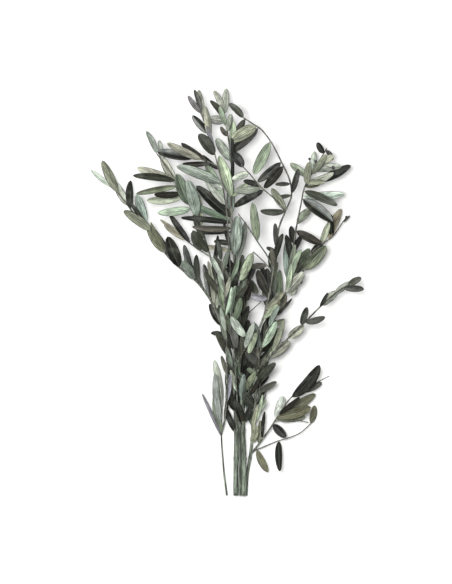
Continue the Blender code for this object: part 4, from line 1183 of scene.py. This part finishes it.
def pale_floor():
    """A plain pale studio surface under the bunch."""
    build = bmesh.new()
    bmesh.ops.create_grid(build, x_segments=1, y_segments=1, size=FLOOR_HALF)
    floor = linked("floor", mesh_of("floor", build))
    floor.location.z = FLOOR_BELOW
    shader = Shader("pale_floor")
    shader.set("Base Color", paint(FLOOR_COLOUR))
    shader.set("Roughness", 0.95)
    shader.set("Specular IOR Level", 0.1)
    floor.data.materials.append(shader.material)


def soft_light():
    """Even studio light, a little stronger from the upper left."""
    world = bpy.data.worlds.new("studio")
    bpy.context.scene.world = world
    world.use_nodes = True
    background = world.node_tree.nodes["Background"]
    background.inputs["Color"].default_value = (1, 1, 1, 1)
    background.inputs["Strength"].default_value = WORLD_STRENGTH
    for place, size, power in LAMPS:
        light = bpy.data.lights.new("softbox", "AREA")
        light.shape = "DISK"
        light.size = size
        light.energy = power
        lamp = linked("softbox", light)
        lamp.location = place
        lamp.rotation_euler = Vector(place).to_track_quat("Z", "Y").to_euler()


def photo_camera():
    """Straight above the bunch, with the photograph's framing."""
    camera = bpy.data.cameras.new("camera")
    camera.sensor_fit = "VERTICAL"
    camera.sensor_height = SENSOR_HEIGHT
    camera.lens = SENSOR_HEIGHT * (CAMERA_HEIGHT - MIDDLE_HEIGHT) / VIEW_HEIGHT
    camera.clip_end = CAMERA_REACH
    viewer = linked("camera", camera)
    viewer.location = (*VIEW_CENTRE, CAMERA_HEIGHT)
    bpy.context.scene.camera = viewer


def dress(piece, node, slot, material):
    piece.data.materials.append(material)
    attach(piece, "root")
    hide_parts(node)


def dress_bunch(record, offset):
    slots = {row["node"]: row["material_slot"] for row in record["subparts"]}
    leaf_skin, bark, fruit_skin = leaf_material(), bark_material(), fruit_material()
    looks = random.Random(LOOKS_SEED)
    for name, wood, leaves in grown_stems():
        dress(leaves_piece(name + "_leaves", leaves, looks, offset), name, slots[name], leaf_skin)
        dress(bark_piece(name + "_bark", wood, looks, offset), name, slots[name], bark)
        if any(twig.fruit for twig, _ in wood):
            fruit = fruit_piece(name + "_fruit", wood, offset)
            dress(fruit, name, slots[name], fruit_skin)


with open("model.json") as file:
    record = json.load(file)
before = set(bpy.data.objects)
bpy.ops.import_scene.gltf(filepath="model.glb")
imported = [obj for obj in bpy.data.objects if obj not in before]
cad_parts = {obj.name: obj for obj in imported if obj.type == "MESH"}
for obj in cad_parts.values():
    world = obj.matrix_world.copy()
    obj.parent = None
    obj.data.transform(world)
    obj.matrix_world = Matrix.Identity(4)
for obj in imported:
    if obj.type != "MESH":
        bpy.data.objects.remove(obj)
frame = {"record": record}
cad_low, cad_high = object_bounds()
dress_bunch(frame["record"],
            np.array((cad_high.x - RIGHT_REACH * MM, cad_high.y - TOP_REACH * MM, cad_low.z)))
pale_floor()
soft_light()
photo_camera()
bpy.context.scene.view_settings.view_transform = "Standard"
